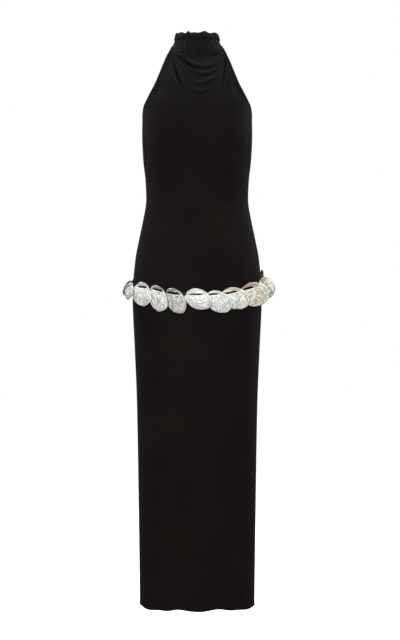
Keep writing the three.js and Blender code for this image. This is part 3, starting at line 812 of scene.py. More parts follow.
def back_share(across, z):
    """The share of the way round, from the right seam (0) by the back to the left one (1)."""
    room = 1 - (seam_at(z) + SEAM_GAP / 2) / whole_at(z)
    return np.where(across <= 0.5, 1 - room * (1 - 2 * across), room * (2 * across - 1) - 1)


def back_skins(across, z):
    """The back panel's skins, whose top edge is the scoop."""
    scoop = scoop_at(across)
    from_seam = (1 - np.abs(2 * across - 1)) * (whole_at(z) - seam_at(z))
    turned = (scoop - z < TURNED_REACH) & (from_seam > SEAM_CLEAR)
    edge_away = np.maximum(scoop - z, 0) * SCOOP_SLANT
    return cloth_skins("back", back_share(across, z), z, edge_away, turned)


back_levels = levels(
    UNDERARM, (-203, 14), (-300, 26), (-430, 26), (-700, 38), (HEM + 16, 56), (HEM, 14)
)
back_across, back_fall = np.meshgrid(crowded(125), (UNDERARM - back_levels) / (UNDERARM - HEM))
back_top = scoop_at(back_across)
back_z = back_top + (HEM - back_top) * back_fall
back_hemmed = hem_shape(back_skins(back_across, back_z), back_z)
back_cloth = jersey_sheet("back_cloth", "back_panel", *back_hemmed)


def nape_skins(across, z):
    """The nape band's skins: the back half of the high neck."""
    foot_away = z - NAPE_FOOT
    turned = foot_away < TURNED_REACH
    return cloth_skins("nape", back_share(across, z), z, foot_away * NAPE_SLANT, turned)


nape_across, nape_z = np.meshgrid(crowded(121), levels(NECK_TOP, (-8, 6), (NAPE_FOOT, 12)))
nape_cloth = jersey_sheet("nape_cloth", "nape_band", *nape_skins(nape_across, nape_z))
print("back_cloth:", len(back_cloth.data.polygons), "nape_cloth:", len(nape_cloth.data.polygons))

# %% [markdown]
# ## The gathered casing
#
# Round the top of the neck runs a narrow strip of the same jersey, folded over and drawn in by
# hidden elastic, so that it stands in uneven puffs with fine pinches between them. In section the
# strip runs up the outside, over the top and down the inside. A ring of such sections makes it:
# the puffs raise and swell it, and many narrow pinches draw it in, most of all along its foot.

# %% Make the casing from a ring of sections
CASING_STATIONS = 540
CASING_STEPS = 4
CASING_CLOTH = 1.1
CASING_HEIGHT = 12.0
CASING_INSET = 3.4
CASING_PINCH = 0.6
# Each corner: out, share of the height
CASING_SECTION = [
    (3.4, 0), (5.3, 0.14), (4.1, 0.5), (0.9, 0.96), (-1.8, 0.98), (-3.6, 0.5), (-2.2, 0),
]
# Each gather: at, wide, rise, swell
GATHERS = [
    (-80, 14, 7.2, 1.2),
    (-50, 13, 4.8, 2),
    (-25, 5, 5.6, 1),
    (-8, 9, 2.4, 1.8),
    (20, 11, 5.8, 2.6),
    (54, 12, 4.6, 2),
    (76, 11, 3.8, 1.4),
    (104, 9, 3, 2),
    (127, 7, 5, 1.4),
    (152, 11, 3.6, 2.4),
    (178, 9, 2.2, 1.8),
    (203, 12, 5, 2.2),
    (230, 8, 2.4, 1.6),
    (254, 10, 3, 2),
]
# Each dimple: at, up, wide, tall, deep
DIMPLES = [
    (-55, 0.4, 4, 0.2, 1.8),
    (-32, 0.6, 4, 0.2, 2.6),
    (-22, 0.2, 4, 0.18, 2.0),
    (-6, 0.3, 3, 0.16, 1.4),
    (11, 0.6, 4.5, 0.22, 3.0),
    (20, 0.15, 3, 0.15, 1.4),
    (31, 0.58, 3.5, 0.2, 2.6),
    (48, 0.4, 4, 0.2, 1.8),
    (84, 0.5, 4, 0.2, 2.0),
    (118, 0.4, 4, 0.2, 2.2),
    (165, 0.5, 4, 0.2, 2.0),
    (214, 0.4, 4, 0.2, 2.2),
    (262, 0.5, 4, 0.2, 2.0),
]
PINCH_SEED = 7
PINCHES = 38
PINCH_STRAY, PINCH_LEAN = 0.3, 0.012
PINCH_WIDE, PINCH_DEEP = (0.007, 0.013), (0.4, 2.2)
PINCH_FADE = {"less": 0.5, "from": 0.1, "over": 0.6}
PINCH_DRAW = 0.7
# The casing's painted highlight, most on its puffs, and painted shade in its pinches and dimples.
PAINTED_SHADING_GAIN, PAINTED_SHADING_CLIP = 1.2, (-3, 2.6)
CASING_DOWN = 30


def rounded_loop(corners, steps):
    """A smooth closed curve through corners, each stretch divided into steps."""
    corners = np.array(corners, dtype=float)
    before, after, beyond = (np.roll(corners, shift, axis=0) for shift in (1, -1, -2))
    t = (np.arange(steps) / steps)[None, :, None]
    a, b, c, d = before[:, None], corners[:, None], after[:, None], beyond[:, None]
    curve = b + 0.5 * t * (c - a + t * (2 * a - 5 * b + 4 * c - d + t * (3 * (b - c) + d - a)))
    return curve.reshape(-1, 2)


def casing_section():
    """The strip in section: out and up of its outer face, and the way in to its inner face."""
    face = rounded_loop(CASING_SECTION, CASING_STEPS)[: 1 - CASING_STEPS]
    run = np.gradient(face * np.array([1, CASING_HEIGHT]), axis=0)
    inward = np.stack([-run[:, 1], run[:, 0]], axis=-1) / np.linalg.norm(run, axis=1, keepdims=True)
    return face, inward * CASING_CLOTH


def casing_points():
    turn = np.linspace(0, 2, CASING_STATIONS, endpoint=False)
    share = np.where(turn <= 1, turn, turn - 2)
    x, y, nx, ny = on_body(share, np.full_like(share, NECK_TOP))
    rise, swell = np.zeros_like(turn), np.full_like(turn, -CASING_PINCH)
    for at, wide, high, out in GATHERS:
        away = np.degrees(np.arccos(np.clip(np.cos(np.pi * turn - math.radians(at)), -1, 1)))
        rise += high * bell(away, wide)
        swell += out * bell(away, wide)
    order = np.random.default_rng(PINCH_SEED)
    stray = order.uniform(-PINCH_STRAY, PINCH_STRAY, PINCHES)
    pinch_at = (np.arange(PINCHES) + stray) * 2 / PINCHES
    pinch_wide = order.uniform(*PINCH_WIDE, PINCHES)
    pinch_deep = order.uniform(*PINCH_DEEP, PINCHES)
    pinch_lean = order.uniform(-PINCH_LEAN, PINCH_LEAN, PINCHES)
    foot = NECK_TOP + SEAM_GAP
    outer, inner, places = [], [], []
    for (out, up), (way_out, way_up) in zip(*casing_section()):
        pinch = np.zeros_like(turn)
        fade = 1 - PINCH_FADE["less"] * ramp((up - PINCH_FADE["from"]) / PINCH_FADE["over"])
        for at, wide, deep, lean in zip(pinch_at, pinch_wide, pinch_deep, pinch_lean):
            off = (turn - at - lean * up + 1) % 2 - 1
            pinch += deep * bell(off, wide) * fade
        side = math.copysign(1, out)
        for at, dimple_up, wide, tall, deep in DIMPLES:
            off = (turn * 180 - at + 180) % 360 - 180
            pinch += deep * bell(off, wide) * bell(up - dimple_up, tall) * (side > 0)
        reach = out - CASING_INSET + side * swell * up - side * pinch
        z = foot + CASING_HEIGHT * up + rise * up - PINCH_DRAW * pinch * max(up, 0)
        outer.append(np.stack([x + nx * reach, y + ny * reach, z], axis=-1))
        reach = reach + way_out
        inner.append(np.stack([x + nx * reach, y + ny * reach, z + way_up], axis=-1))
        # Painted highlight on the whole casing, more on the puffs, and painted shade in the
        # pinches.
        crease = PAINTED_SHADING_GAIN * swell * up - PAINTED_SHADING_GAIN * pinch + PAINTED_SHADING_GAIN
        crease = np.clip(crease, *PAINTED_SHADING_CLIP)
        down = np.full_like(share, -CASING_DOWN * up)
        places.append(np.stack([share * whole_at(NECK_TOP), down, crease], axis=-1))
    return np.stack([*outer, *reversed(inner)]), np.stack([*places, *reversed(places)])


def ring_mesh(name, points, place, finish):
    """A closed ring from rows of points that run round it, with its last row meeting the first."""
    rows, columns = points.shape[:2]
    wrapped_rows = np.arange(rows * columns).reshape(rows, columns)
    wrapped_rows = np.concatenate([wrapped_rows, wrapped_rows[:1]])
    faces = wrapped_rows.reshape(-1)[grid_faces(rows + 1, columns, closed=True)][:, ::-1]
    attributes = {"cloth_place": ("FLOAT_VECTOR", place * MM)}
    return mesh_of(name, points.reshape(-1, 3), faces, finish, attributes)


casing_mesh = ring_mesh("casing_cloth", *casing_points(), jersey)
casing_cloth = dressed("casing_cloth", casing_mesh, "jersey", "neck_casing")
print("casing_cloth:", len(casing_cloth.data.polygons), "faces,", PINCHES, "pinches")

# %% [markdown]
# ## Stitches
#
# Real sewing lies a little proud of the cloth and dips at each hole. One stitch is a short tube
# that is thick in the middle and sinks at both ends. A line of them follows a path along a
# panel's outer skin, and each line of sewing on the dress is one joined mesh.

# %% One stitch, and a line of stitches along a path
STITCH = {"long": 2.7, "gap": 0.6, "thick": 0.36}
# Each ring: share of the length, thickness, lift
STITCH_RINGS = [
    (0.0, 0.3, -0.2), (0.2, 0.85, 0.5), (0.5, 1.0, 0.75), (0.8, 0.85, 0.5), (1.0, 0.3, -0.2),
]
STITCH_SIDES = 6


def stitch_line(path):
    """Points and faces of a line of stitches along a path that lies on cloth seen from outside."""
    steps = np.linalg.norm(np.diff(path, axis=0), axis=1)
    along = np.concatenate([[0], np.cumsum(steps)])
    pitch = STITCH["long"] + STITCH["gap"]
    count = int(along[-1] // pitch)
    starts = np.arange(count) * pitch + STITCH["gap"] / 2

    def at(distance):
        return np.stack([np.interp(distance, along, path[:, k]) for k in range(3)], axis=-1)

    forward = at(starts + STITCH["long"]) - at(starts)
    forward /= np.linalg.norm(forward, axis=1, keepdims=True)
    outward = at(starts) * np.array([1, 1, 0])
    outward -= forward * (outward * forward).sum(axis=1, keepdims=True)
    outward /= np.linalg.norm(outward, axis=1, keepdims=True)
    aside = np.cross(forward, outward)
    points = []
    for t, thick, lift in STITCH_RINGS:
        middle = at(starts + t * STITCH["long"]) + outward * lift * STITCH["thick"]
        for side in range(STITCH_SIDES):
            turn = TURN * side / STITCH_SIDES
            spoke = outward * math.cos(turn) + aside * math.sin(turn)
            points.append(middle + spoke * thick * STITCH["thick"])
    one = grid_faces(len(STITCH_RINGS), STITCH_SIDES, closed=True).tolist()
    last = STITCH_SIDES * (len(STITCH_RINGS) - 1)
    one += [list(range(STITCH_SIDES)), [last + k for k in reversed(range(STITCH_SIDES))]]
    each = len(STITCH_RINGS) * STITCH_SIDES
    faces = [[n * each + k for k in face] for n in range(count) for face in one]
    return np.stack(points, axis=1).reshape(-1, 3), faces


def sewn(name, paths):
    """One piece of sewing, from all the paths that it follows."""
    points, faces, start = [], [], 0
    for path in paths:
        line, quads = stitch_line(path)
        points.append(line)
        faces += [[start + k for k in face] for face in quads]
        start += len(line)
    points = np.concatenate(points)
    mesh = mesh_of(name, points, faces, thread, {"cloth_place": ("FLOAT_VECTOR", points * MM)})
    return dressed(name, mesh, "jersey")


# %% Sew the hem, the armholes, the scoop and the foot of the casing
LONG_PATH, SHORT_PATH = 400, 300
NECK_SEWN = NECK_TOP - 1.6
ARMHOLE_ENDS = (NAPE_FOOT - 3, UNDERARM + 2)
SCOOP_ENDS, NAPE_ENDS = (0.02, 0.98), (0.01, 0.99)


def closed_hem(up):
    z = np.full(LONG_PATH, HEM + up)
    front = hem_shape(front_skins(np.linspace(-1, 1, LONG_PATH), z), z)[0]
    back = hem_shape(back_skins(np.linspace(0, 1, LONG_PATH), z), z)[0]
    return np.concatenate([front, back])


def armhole_path(side):
    z = np.linspace(*ARMHOLE_ENDS, SHORT_PATH)
    return front_skins(side * (1 - SEWN_AT / seam_at(z)), z)[0]


def scoop_path():
    across = np.linspace(*SCOOP_ENDS, LONG_PATH)
    return back_skins(across, scoop_at(across) - SEWN_AT / SCOOP_SLANT)[0]


def neck_path(skins_at, start, end, level):
    return skins_at(np.linspace(start, end, SHORT_PATH), np.full(SHORT_PATH, level))[0]


hem_lines = [closed_hem(HEM_WELT["up"] + apart) for apart in (0, HEM_WELT["apart"])]
neck_lines = [
    neck_path(front_skins, -1, 1, NECK_SEWN),
    neck_path(nape_skins, 0, 1, NECK_SEWN),
    neck_path(nape_skins, *NAPE_ENDS, NAPE_FOOT + SEWN_AT / NAPE_SLANT),
]
sewing = [
    sewn("hem_stitches", hem_lines),
    sewn("armhole_stitches", [armhole_path(-1), armhole_path(1)]),
    sewn("scoop_stitches", [scoop_path()]),
    sewn("neck_stitches", neck_lines),
]
print("sewing:", [(piece.name, len(piece.data.polygons)) for piece in sewing])

# %% [markdown]
# ## The belt's path
#
# The belt is a loose loop that lies tilted on the hip, low in front and high behind. It swings off
# that plane in four places: it rises on both sides of its lowest point, and on the viewer's left it
# stands out from the side of the hip and drops just behind it. Each place on it is settled in a few
# turns: the body gives a depth for a level, and the tilt gives a level for a depth.

# %% Follow the strap round the hip
BELT_FRONT = {"y": -108, "z": -664}
BELT_SLOPE = 0.36
SWING_COLUMNS = ("arc", "width", "rise", "out")
BELT_SWINGS = [(-250, 60, -18, 0), (-205, 50, 0, 11), (-125, 55, 8, 0), (160, 60, 8, 0)]
UP = Vector((0, 0, 1))
BELT_SETTLING = 12
STRAP = {"wide": 10.0, "thick": 2.0, "gap": 0.5}


def place_on_body(arc, z):
    """x, y and the normal at an arc length in millimetres, as plain numbers."""
    share = np.array([arc / float(whole_at(z))])
    return [float(v[0]) for v in on_body(share, np.array([float(z)]))]


def swing(arc, column):
    """How far the swings move the loop at an arc length: up, or out off the hip."""
    place = SWING_COLUMNS.index(column)
    return sum(row[place] * float(bell(arc - row[0], row[1])) for row in BELT_SWINGS)


def belt_point(arc_at):
    """A point on the strap's middle line, at its inner face."""
    z = float(BELT_FRONT["z"])
    for _ in range(BELT_SETTLING):
        arc = arc_at(z)
        x, y, nx, ny = place_on_body(arc, z)
        z = BELT_FRONT["z"] + BELT_SLOPE * (y - BELT_FRONT["y"]) + swing(arc, "rise")
    off = swing(arc, "out")
    return Vector((x + nx * off, y + ny * off, z))


def wrapped(arc, z):
    """An arc length taken round the loop, between the two ways to back centre."""
    whole = float(whole_at(z))
    if arc > whole:
        return arc - 2 * whole
    return arc + 2 * whole if arc < -whole else arc


print("belt: back centre at", round(belt_point(lambda z: float(whole_at(z))).z), "mm")

# %% [markdown]
# ### The strap
#
# It is a narrow black woven band. Only short stretches show, through the slots and between the
# shells, so it gets a rounded section with a firm edge and a weave in its finish.

# %% Make the strap and its woven finish
STRAP_STATIONS = 420
# Each corner: up, out
STRAP_SECTION = [
    (-5, 0.9), (-4.6, 2.2), (-3.9, 2.5), (0, 2.42), (3.9, 2.5), (4.6, 2.2), (5, 0.9),
    (4.5, 0.5), (-4.5, 0.5),
]
STRAP_CORNER = 3
STRAP_ROUND = 30
TWILL, WEFT = 1.4 * MM, 1.1 * MM
TWILL_LEAN = 0.6
TWILL_SHARE, WEFT_SHARE = 0.6, 0.4
WEAVE_BUMP = (0.5, 0.2 * MM)
WEBBING_DARK, WEBBING_LIGHT = (0.0025, 0.0025, 0.0025), (0.006, 0.0058, 0.0056)

weave_finish = Finish("black_webbing")
weave_place = weave_finish.attribute("cloth_place", out=1)
weave_across, weave_down, _ = weave_finish.parts_of(weave_place)
twill = ((weave_across + weave_down * TWILL_LEAN) * (TURN / TWILL)).sine()
ribs = (weave_down * (TURN / WEFT)).sine()
webbing = weave_finish.set(
    Base_Color=twill.between(-1.0, 1.0).blend(WEBBING_DARK, WEBBING_LIGHT),
    Roughness=0.62,
    Normal=weave_finish.bump(twill * TWILL_SHARE + ribs * WEFT_SHARE, *WEAVE_BUMP),
    Specular_IOR_Level=0.15,
)


def strap_points():
    stations = []
    for turn in np.linspace(0, 2, STRAP_STATIONS, endpoint=False):
        share = turn if turn <= 1 else turn - 2
        middle = belt_point(lambda z, share=share: share * float(whole_at(z)))
        station = []
        for rise, out in STRAP_SECTION:
            z = middle.z + rise
            arc = share * float(whole_at(z))
            x, y, nx, ny = place_on_body(arc, z)
            reach = out + swing(arc, "out")
            station.append((x + nx * reach, y + ny * reach, z))
        stations.append(station)
    return np.array(stations).transpose(1, 0, 2)


strap_grid = strap_points()
strap_steps = np.linalg.norm(np.diff(strap_grid[STRAP_CORNER], axis=0), axis=1)
strap_run = np.concatenate([[0], np.cumsum(strap_steps)])
strap_down = np.linspace(0, STRAP_ROUND, len(STRAP_SECTION))[:, None]
strap_place = np.stack([*np.broadcast_arrays(strap_run, strap_down, 0.0)], axis=-1)
strap_mesh = ring_mesh("belt_webbing", strap_grid, strap_place, webbing)
belt_webbing = dressed("belt_webbing", strap_mesh, "strap", "belt_strap")
print(belt_webbing.name, round(strap_run[-1]), "mm round")

# %% [markdown]
# ## The shells
#
# These are flat, ear-shaped sea shells, worn with the pearl side out. Each is domed, with a broad
# crescent above its slot, a firm straight lip below it, and a rolled rim that is highest on the
# right. The pearl is wrinkled like foil. Every shell hangs on the strap by its slot, and nearly
# all of them lie over their right neighbour's left edge, like tiles.

# %% The shells' sizes, round from the front gap to the viewer's right
SHELL_COLUMNS = ("arc", "fall", "long", "wide", "hang", "slot", "point", "lean", "kick", "lift")
SHELLS = [
    (3, 24, 70, 50, 12, -7, 190, 0.16, 0, 0),
    (52, 34, 70, 51, 20, -13, 20, 0.16, 0, 0),
    (92, 24, 73, 54, 17, -12, -20, 0.17, 0, 0),
    (142, 22, 76, 61, 21, -18, 30, 0.33, 0.04, 0),
    (199, 36, 68, 54, 18, -8, 10, 0.46, 0.05, 0),
    (254, 38, 71, 54, 14, -8, 25, 0.27, -0.03, 0),
    (304, 26, 74, 54, 14, -9, 200, 0.2, 0, 0),
    (355, 34, 72, 53, 15, -8, 0, 0.17, 0, 0),
    (405, 46, 74, 53, 16, -9, 20, 0.17, 0, 0),
    (455, 26, 76, 55, 14, -8, -15, 0.16, 0, 0),
    (504, 38, 73, 53, 15, -9, 30, 0.19, 0.03, 0),
    (553, 30, 68, 52, 14, -8, 5, 0.2, 0.11, 0),
    (607, 36, 62, 47, 12, -7, 25, 0.28, 0.26, 0),
    (-235, 14, 50, 36, 8, -4, 10, 0.14, 0.22, 0.3),
    (-176, 26, 56, 42, 12, -5, 10, 0.3, 0.3, 1.8),
    (-140, 50, 64, 55, 18, 4, 25, -0.04, 0, 8.2),
    (-95, 48, 71, 49, 21, -5, 22, 0.16, 0, 0),
    (-52, 47, 70, 48, 18.5, -9, 0, 0.16, 0, 0),
]
SHELL_WALL = 2.0
SHELL_DOME = 7.0
POINT_WIDE = 0.34
POINT_REACH = 0.07
NICK = {"in": 0.07, "out": 0.05, "wide": 0.12, "below": 0.26}
TIP = {"high": 0.055, "wide": 0.09}
CUT = {"above": 0.3, "wide": 0.3}
RIM_WAVE = 0.012
# Each wave round the rim: share, count, shift
RIM_WAVES = [(0.6, 5, 1), (0.4, 9, 2)]
RIM_SEARCH = 240
OFF_LEFT = 100
SEAT_CORNERS = 16
SEAT_STEPS = 4
SEAT_GAP = 0.3
STRAP_MARGIN = 1.0
SLOT_OUTLINE = [
    (-14, -2.4), (14, -2.4), (13, 0.8), (8, 3), (5.5, 1.2), (2.5, 3.2),
    (0, 1.2), (-3, 3.2), (-6, 1.1), (-9, 2.6), (-13.5, 0.4),
]


def half_turned(angle):
    """The same angle, at most half a turn either way."""
    return np.arctan2(np.sin(angle), np.cos(angle))


def plain_reach(shell, angle):
    """How far the frame's smooth rim lies from the middle, at an angle from the long axis."""
    turn = half_turned(angle - math.radians(shell["point"]))
    oval = 1 / np.hypot(np.cos(angle) / (shell["long"] / 2), np.sin(angle) / (shell["wide"] / 2))
    return oval * (1 + POINT_REACH * bell(turn, POINT_WIDE))


def shell_reach(shell, angle):
    """The worn rim: it waves, with a nick and a cut where the lip starts, and a tip at the foot."""
    fall = math.radians(shell["fall"])
    around = TURN * np.arange(RIM_SEARCH) / RIM_SEARCH
    lie, reach = around - fall, plain_reach(shell, around)
    to_lip = np.abs(reach * np.sin(lie) - shell["hang"]) + OFF_LEFT * (np.cos(lie) > 0)
    past = half_turned(angle - around[to_lip.argmin()])
    corner = NICK["out"] * bell(past - NICK["below"], NICK["wide"])
    corner = corner - NICK["in"] * bell(past, NICK["wide"])
    to_tip = half_turned(angle - fall - math.radians(shell["tip"]))
    tip = TIP["high"] * np.exp(-np.abs(to_tip) / TIP["wide"])
    arc = shell["arc"]
    wave = sum(part * np.sin(count * angle + shift * arc) for part, count, shift in RIM_WAVES)
    cut = shell["cut"] * bell(past + CUT["above"], CUT["wide"])
    return plain_reach(shell, angle) * (1 + shell["nick"] * corner - cut + tip + RIM_WAVE * wave)


def shell_edge(shell, angle, share, reach_at=shell_reach):
    """A place right and up from the middle, at an angle and a share of the way out."""
    lie = angle - math.radians(shell["fall"])
    reach = share * reach_at(shell, angle)
    return np.stack([reach * np.cos(lie), reach * np.sin(lie)], axis=-1)


def belt_frame(arc):
    """The frame of a shell on the strap: its place, and right, up and out."""
    def along(shift):
        return belt_point(lambda z: wrapped(arc + shift, z))

    here = along(0)
    right = (along(1) - along(-1)).normalized()
    out = right.cross(UP).normalized()
    up = out.cross(right).normalized()
    return here, right, up, out


def seat_height(shell, here, right, up, out):
    """How far out the shell's rim first meets the strap or the cloth."""
    angles = TURN * np.arange(SEAT_CORNERS) / SEAT_CORNERS
    rim = shell_edge(shell, angles, 1, plain_reach)
    following = np.roll(rim, -1, axis=0)
    whole = float(whole_at(here.z))
    heights = []
    for t in np.arange(SEAT_STEPS) / SEAT_STEPS:
        for x, y in rim + (following - rim) * t:
            rise = y - shell["hang"]
            z = here.z + x * right.z + rise * up.z
            middle = shell["arc"] * float(whole_at(z)) / whole
            place = wrapped(middle + x * up.z - rise * right.z, z)
            body_x, body_y, _, _ = place_on_body(place, z)
            ground = (Vector((body_x, body_y, z)) - here).dot(out) + SEAT_GAP
            if abs(rise) < STRAP["wide"] / 2 + STRAP_MARGIN:
                ground += STRAP["gap"] + STRAP["thick"] + swing(place, "out")
            heights.append(ground - shell["lean"] * x + shell["kick"] * y)
    return max(heights) + shell["lift"]


print("shells:", len(SHELLS))

# %% [markdown]
# ### The outline of a shell, filled with points
#
# A shell has a hole, so a plain polar grid would tear at the slot. The rim and the slot are drawn
# as two closed lines, rings of points follow the rim, a fine field of points fills the rest, and
# a Delaunay triangulation joins them all. The same flat net then serves the pearl side and the
# back, with walls between the two along both lines.

# %% Fill a shell's outline with a net of triangles
RIM_POINTS = 180
RING_SHARES = [(985 - 20 * k) / 1000 for k in range(9)]
FIELD_STEP = 1.0
FIELD_SHARE = 0.812
FIELD_MARGIN = 3
SLOT_CLEAR = 0.75
SLOT_STEPS = 4
NET_TOLERANCE = 1e-5


def local_share(shell, flat):
    """Each place's angle from the long axis, and its share of the way out."""
    lie = np.arctan2(flat[:, 1], flat[:, 0])
    angle = lie + math.radians(shell["fall"])
    return angle, np.hypot(flat[:, 0], flat[:, 1]) / shell_reach(shell, angle)


def slot_loop(shell):
    """The slot in this shell, with its corners softened."""
    outline = np.array(SLOT_OUTLINE) * np.array([shell["slot_long"], shell["slot_tall"]])
    return rounded_loop(outline, SLOT_STEPS) + np.array([shell["slot"], shell["hang"]])


def inside_loop(points, loop):
    """Whether each point lies inside a closed line, by counting crossings."""
    x, y = points[:, 0][:, None], points[:, 1][:, None]
    x0, y0 = loop.T
    x1, y1 = np.roll(loop, -1, axis=0).T
    crosses = (y0 > y) != (y1 > y)
    rise = np.where(y1 == y0, 1, y1 - y0)
    return (crosses & (x < (x1 - x0) * (y - y0) / rise + x0)).sum(axis=1) % 2 == 1


def shell_net(shell):
    """The flat net: points, triangles, and the rim's and the slot's points in order."""
    angles = TURN * np.arange(RIM_POINTS) / RIM_POINTS
    rim = shell_edge(shell, angles, 1)
    slot = slot_loop(shell)
    rings = [
        shell_edge(shell, angles + 0.5 * k * TURN / RIM_POINTS, ring_share)
        for k, ring_share in enumerate(RING_SHARES)
    ]
    reach = shell["long"] / 2 + FIELD_MARGIN
    steps = np.arange(-reach, reach, FIELD_STEP)
    field_x, field_y = np.meshgrid(steps, steps * math.sqrt(3) / 2)
    field_x = field_x + (np.arange(len(steps)) % 2)[:, None] * FIELD_STEP / 2
    field = np.stack([field_x.ravel(), field_y.ravel()], axis=-1)
    field = field[local_share(shell, field)[1] < FIELD_SHARE]
    loose = np.concatenate([*rings, field])
    away = np.linalg.norm(loose[:, None] - slot[None], axis=-1).min(axis=1)
    loose = loose[(away > SLOT_CLEAR) & ~inside_loop(loose, slot)]
    flat = np.concatenate([rim, slot, loose])
    edges = [(k, (k + 1) % RIM_POINTS) for k in range(RIM_POINTS)]
    edges += [(RIM_POINTS + k, RIM_POINTS + (k + 1) % len(slot)) for k in range(len(slot))]
    spots = [Vector(p) for p in flat.tolist()]
    found = geometry.delaunay_2d_cdt(spots, edges, [], 0, NET_TOLERANCE)
    points, triangles = np.array([tuple(p) for p in found[0]]), np.array(found[2])
    order = {original: new for new, originals in enumerate(found[3]) for original in originals}
    rim_order = [order[k] for k in range(RIM_POINTS)]
    slot_order = [order[RIM_POINTS + k] for k in range(len(slot))]
    middles = points[triangles].mean(axis=1)
    keep = inside_loop(middles, rim) & ~inside_loop(middles, slot)
    triangles = triangles[keep]
    a, b, c = (points[triangles[:, k]] for k in range(3))
    turned = (b[:, 0] - a[:, 0]) * (c[:, 1] - a[:, 1]) < (b[:, 1] - a[:, 1]) * (c[:, 0] - a[:, 0])
    triangles[turned] = triangles[turned][:, ::-1]
    return points, triangles, rim_order, slot_order


# %% [markdown]
# ### The relief of the pearl
#
# A straight lip runs under the slot from the left rim. Above it the shell is a plain crescent, and
# the crescent goes on down the right side as a band that narrows to the foot. What the lip and the
# band enclose is the bowl, and only the bowl is wrinkled: bent ribs run across it in a direction of
# their own, and soft crumpling breaks them up. The band ends in a thin groove.

# %% Bowl, band, lip and ribs
BAND_TURNS = (-180, -115, -85, -55, -20, 10, 45, 80, 120, 180)
BAND_SHARES = (1.03, 1.03, 0.97, 0.92, 0.86, 0.81, 0.78, 0.75, 0.73, 1.03)
BAND = {"high": 0.9, "above_slot": 0.3, "rolled": 0.5, "roll_at": 0.93, "roll_wide": 0.035}
GROOVE = {"deep": 0.9, "past": 0.1, "wide": 0.8, "above_slot": 0.25}
LIP = {"high": 1.0, "below": 1.9, "wide": 1.3}
CREST = {"hollow": 0.9, "above": 5, "wide": 3.4}
BOWL = {"below": 2.5, "over": 3}
RIB = {"high": 0.46, "sharp": 0.8, "least": 0.35}
CRUMPLE = {"high": 0.5, "least": 0.2}
GROWTH = {"high": 0.12, "apart": 2.2, "stray": 0.8, "from": 0.6, "over": 0.2}
RIM_FADE = {"from": 0.965, "over": 0.035, "least": 0.25}
SIDE_BLEND = 4
SLOT_FOOT = 2.4
# Each kind of cloud: size, place in the noise
CLOUDS = {
    "warp": (17, 0), "small warp": (7.5, 11), "patch": (14, 23), "crumple": (8, 31),
    "fine crumple": (3.8, 37), "growth": (9, 41), "hue": (15, 53), "fine hue": (5, 59),
    "back": (4.5, 67), "tide": (10, 71),
}
CLOUD_GAIN = 1.8
WARP, SMALL_WARP = 4.5, 2.2
FINE_CRUMPLE = 0.75
PATCH_START, PATCH_GAIN = 0.6, 0.8


def clouds(flat, seed, kind):
    """Soft noise of one kind at each flat place, about -1 to 1, the same in every run."""
    size, place = CLOUDS[kind]
    spots = [Vector((x / size, y / size, seed + place)) for x, y in flat]
    return np.array([noise.noise(spot) for spot in spots]) * CLOUD_GAIN


def at_least(least, mask):
    """A mask that is lifted, so that it starts at its least value and still ends at 1."""
    return least + (1 - least) * mask


def pearl_relief(shell, flat, seed):
    """The height of the pearl side above the plain dome, and masks that the colours use."""
    angle, share = local_share(shell, flat)
    x, y = flat.T
    lie = np.degrees(np.arctan2(y, x))
    beside = (share - np.interp(lie, BAND_TURNS, BAND_SHARES)) * shell_reach(shell, angle)
    above = y - shell["hang"] + SLOT_FOOT * shell["slot_tall"]
    past = np.maximum(beside, above)
    outside = ramp(past + 0.5)
    at_side = ramp((beside - above) / SIDE_BLEND + 0.5)
    groove = bell(past - GROOVE["past"], GROOVE["wide"]) * at_least(GROOVE["above_slot"], at_side)
    lip = bell(above + LIP["below"], LIP["wide"]) * (1 - outside) * shell["lip"]
    crest = bell(above - CREST["above"], CREST["wide"]) * outside * (1 - at_side)
    height = BAND["high"] * outside * at_least(BAND["above_slot"], at_side)
    height += BAND["rolled"] * bell(share - BAND["roll_at"], BAND["roll_wide"]) * at_side
    height += LIP["high"] * lip - GROOVE["deep"] * groove - CREST["hollow"] * crest
    inner = (1 - outside) * ramp((-above - BOWL["below"]) / BOWL["over"])
    warp = WARP * clouds(flat, seed, "warp") + SMALL_WARP * clouds(flat, seed, "small warp")
    turn = math.radians(shell["rib_turn"])
    across = x * math.cos(turn) + y * math.sin(turn)
    along = y * math.cos(turn) - x * math.sin(turn)
    wave = np.sin(TURN * (across + shell["rib_bend"] * along**2 + warp) / shell["rib"])
    ribs = np.abs(wave) ** RIB["sharp"] * np.sign(wave) * shell["ribs"]
    patch = ramp(PATCH_START + PATCH_GAIN * clouds(flat, seed, "patch"))
    ribs = ribs * at_least(RIB["least"], patch)
    height += RIB["high"] * ribs * inner
    crumple = clouds(flat, seed, "crumple") + FINE_CRUMPLE * clouds(flat, seed, "fine crumple")
    crumple = crumple * shell["crumple"]
    height += CRUMPLE["high"] * crumple * at_least(CRUMPLE["least"], inner)
    from_middle = share * shell["wide"] / 2 + GROWTH["stray"] * clouds(flat, seed, "growth")
    growth = np.sin(TURN * from_middle / GROWTH["apart"])
    height += GROWTH["high"] * growth * ramp((share - GROWTH["from"]) / GROWTH["over"])
    fade = 1 - ramp((share - RIM_FADE["from"]) / RIM_FADE["over"])
    masks = {"outside": outside, "at_side": at_side, "groove": groove, "inner": inner}
    masks |= {"lip": lip, "ribs": ribs, "crumple": crumple, "share": share, "above": above}
    return height * at_least(RIM_FADE["least"], fade), masks


print("relief: lip, crescent, band and bowl")

# %% [markdown]
# ### The colours of the pearl
#
# No two shells are alike. A table gives each one its own light, its tints and its slot, and a
# second one lays soft spots of colour on those that show in front: sea green at the foot of
# one, blue and mauve between the ribs of the next, and olive on the last. Colour is stored at each
# point of the net, and the finish adds only what is finer.

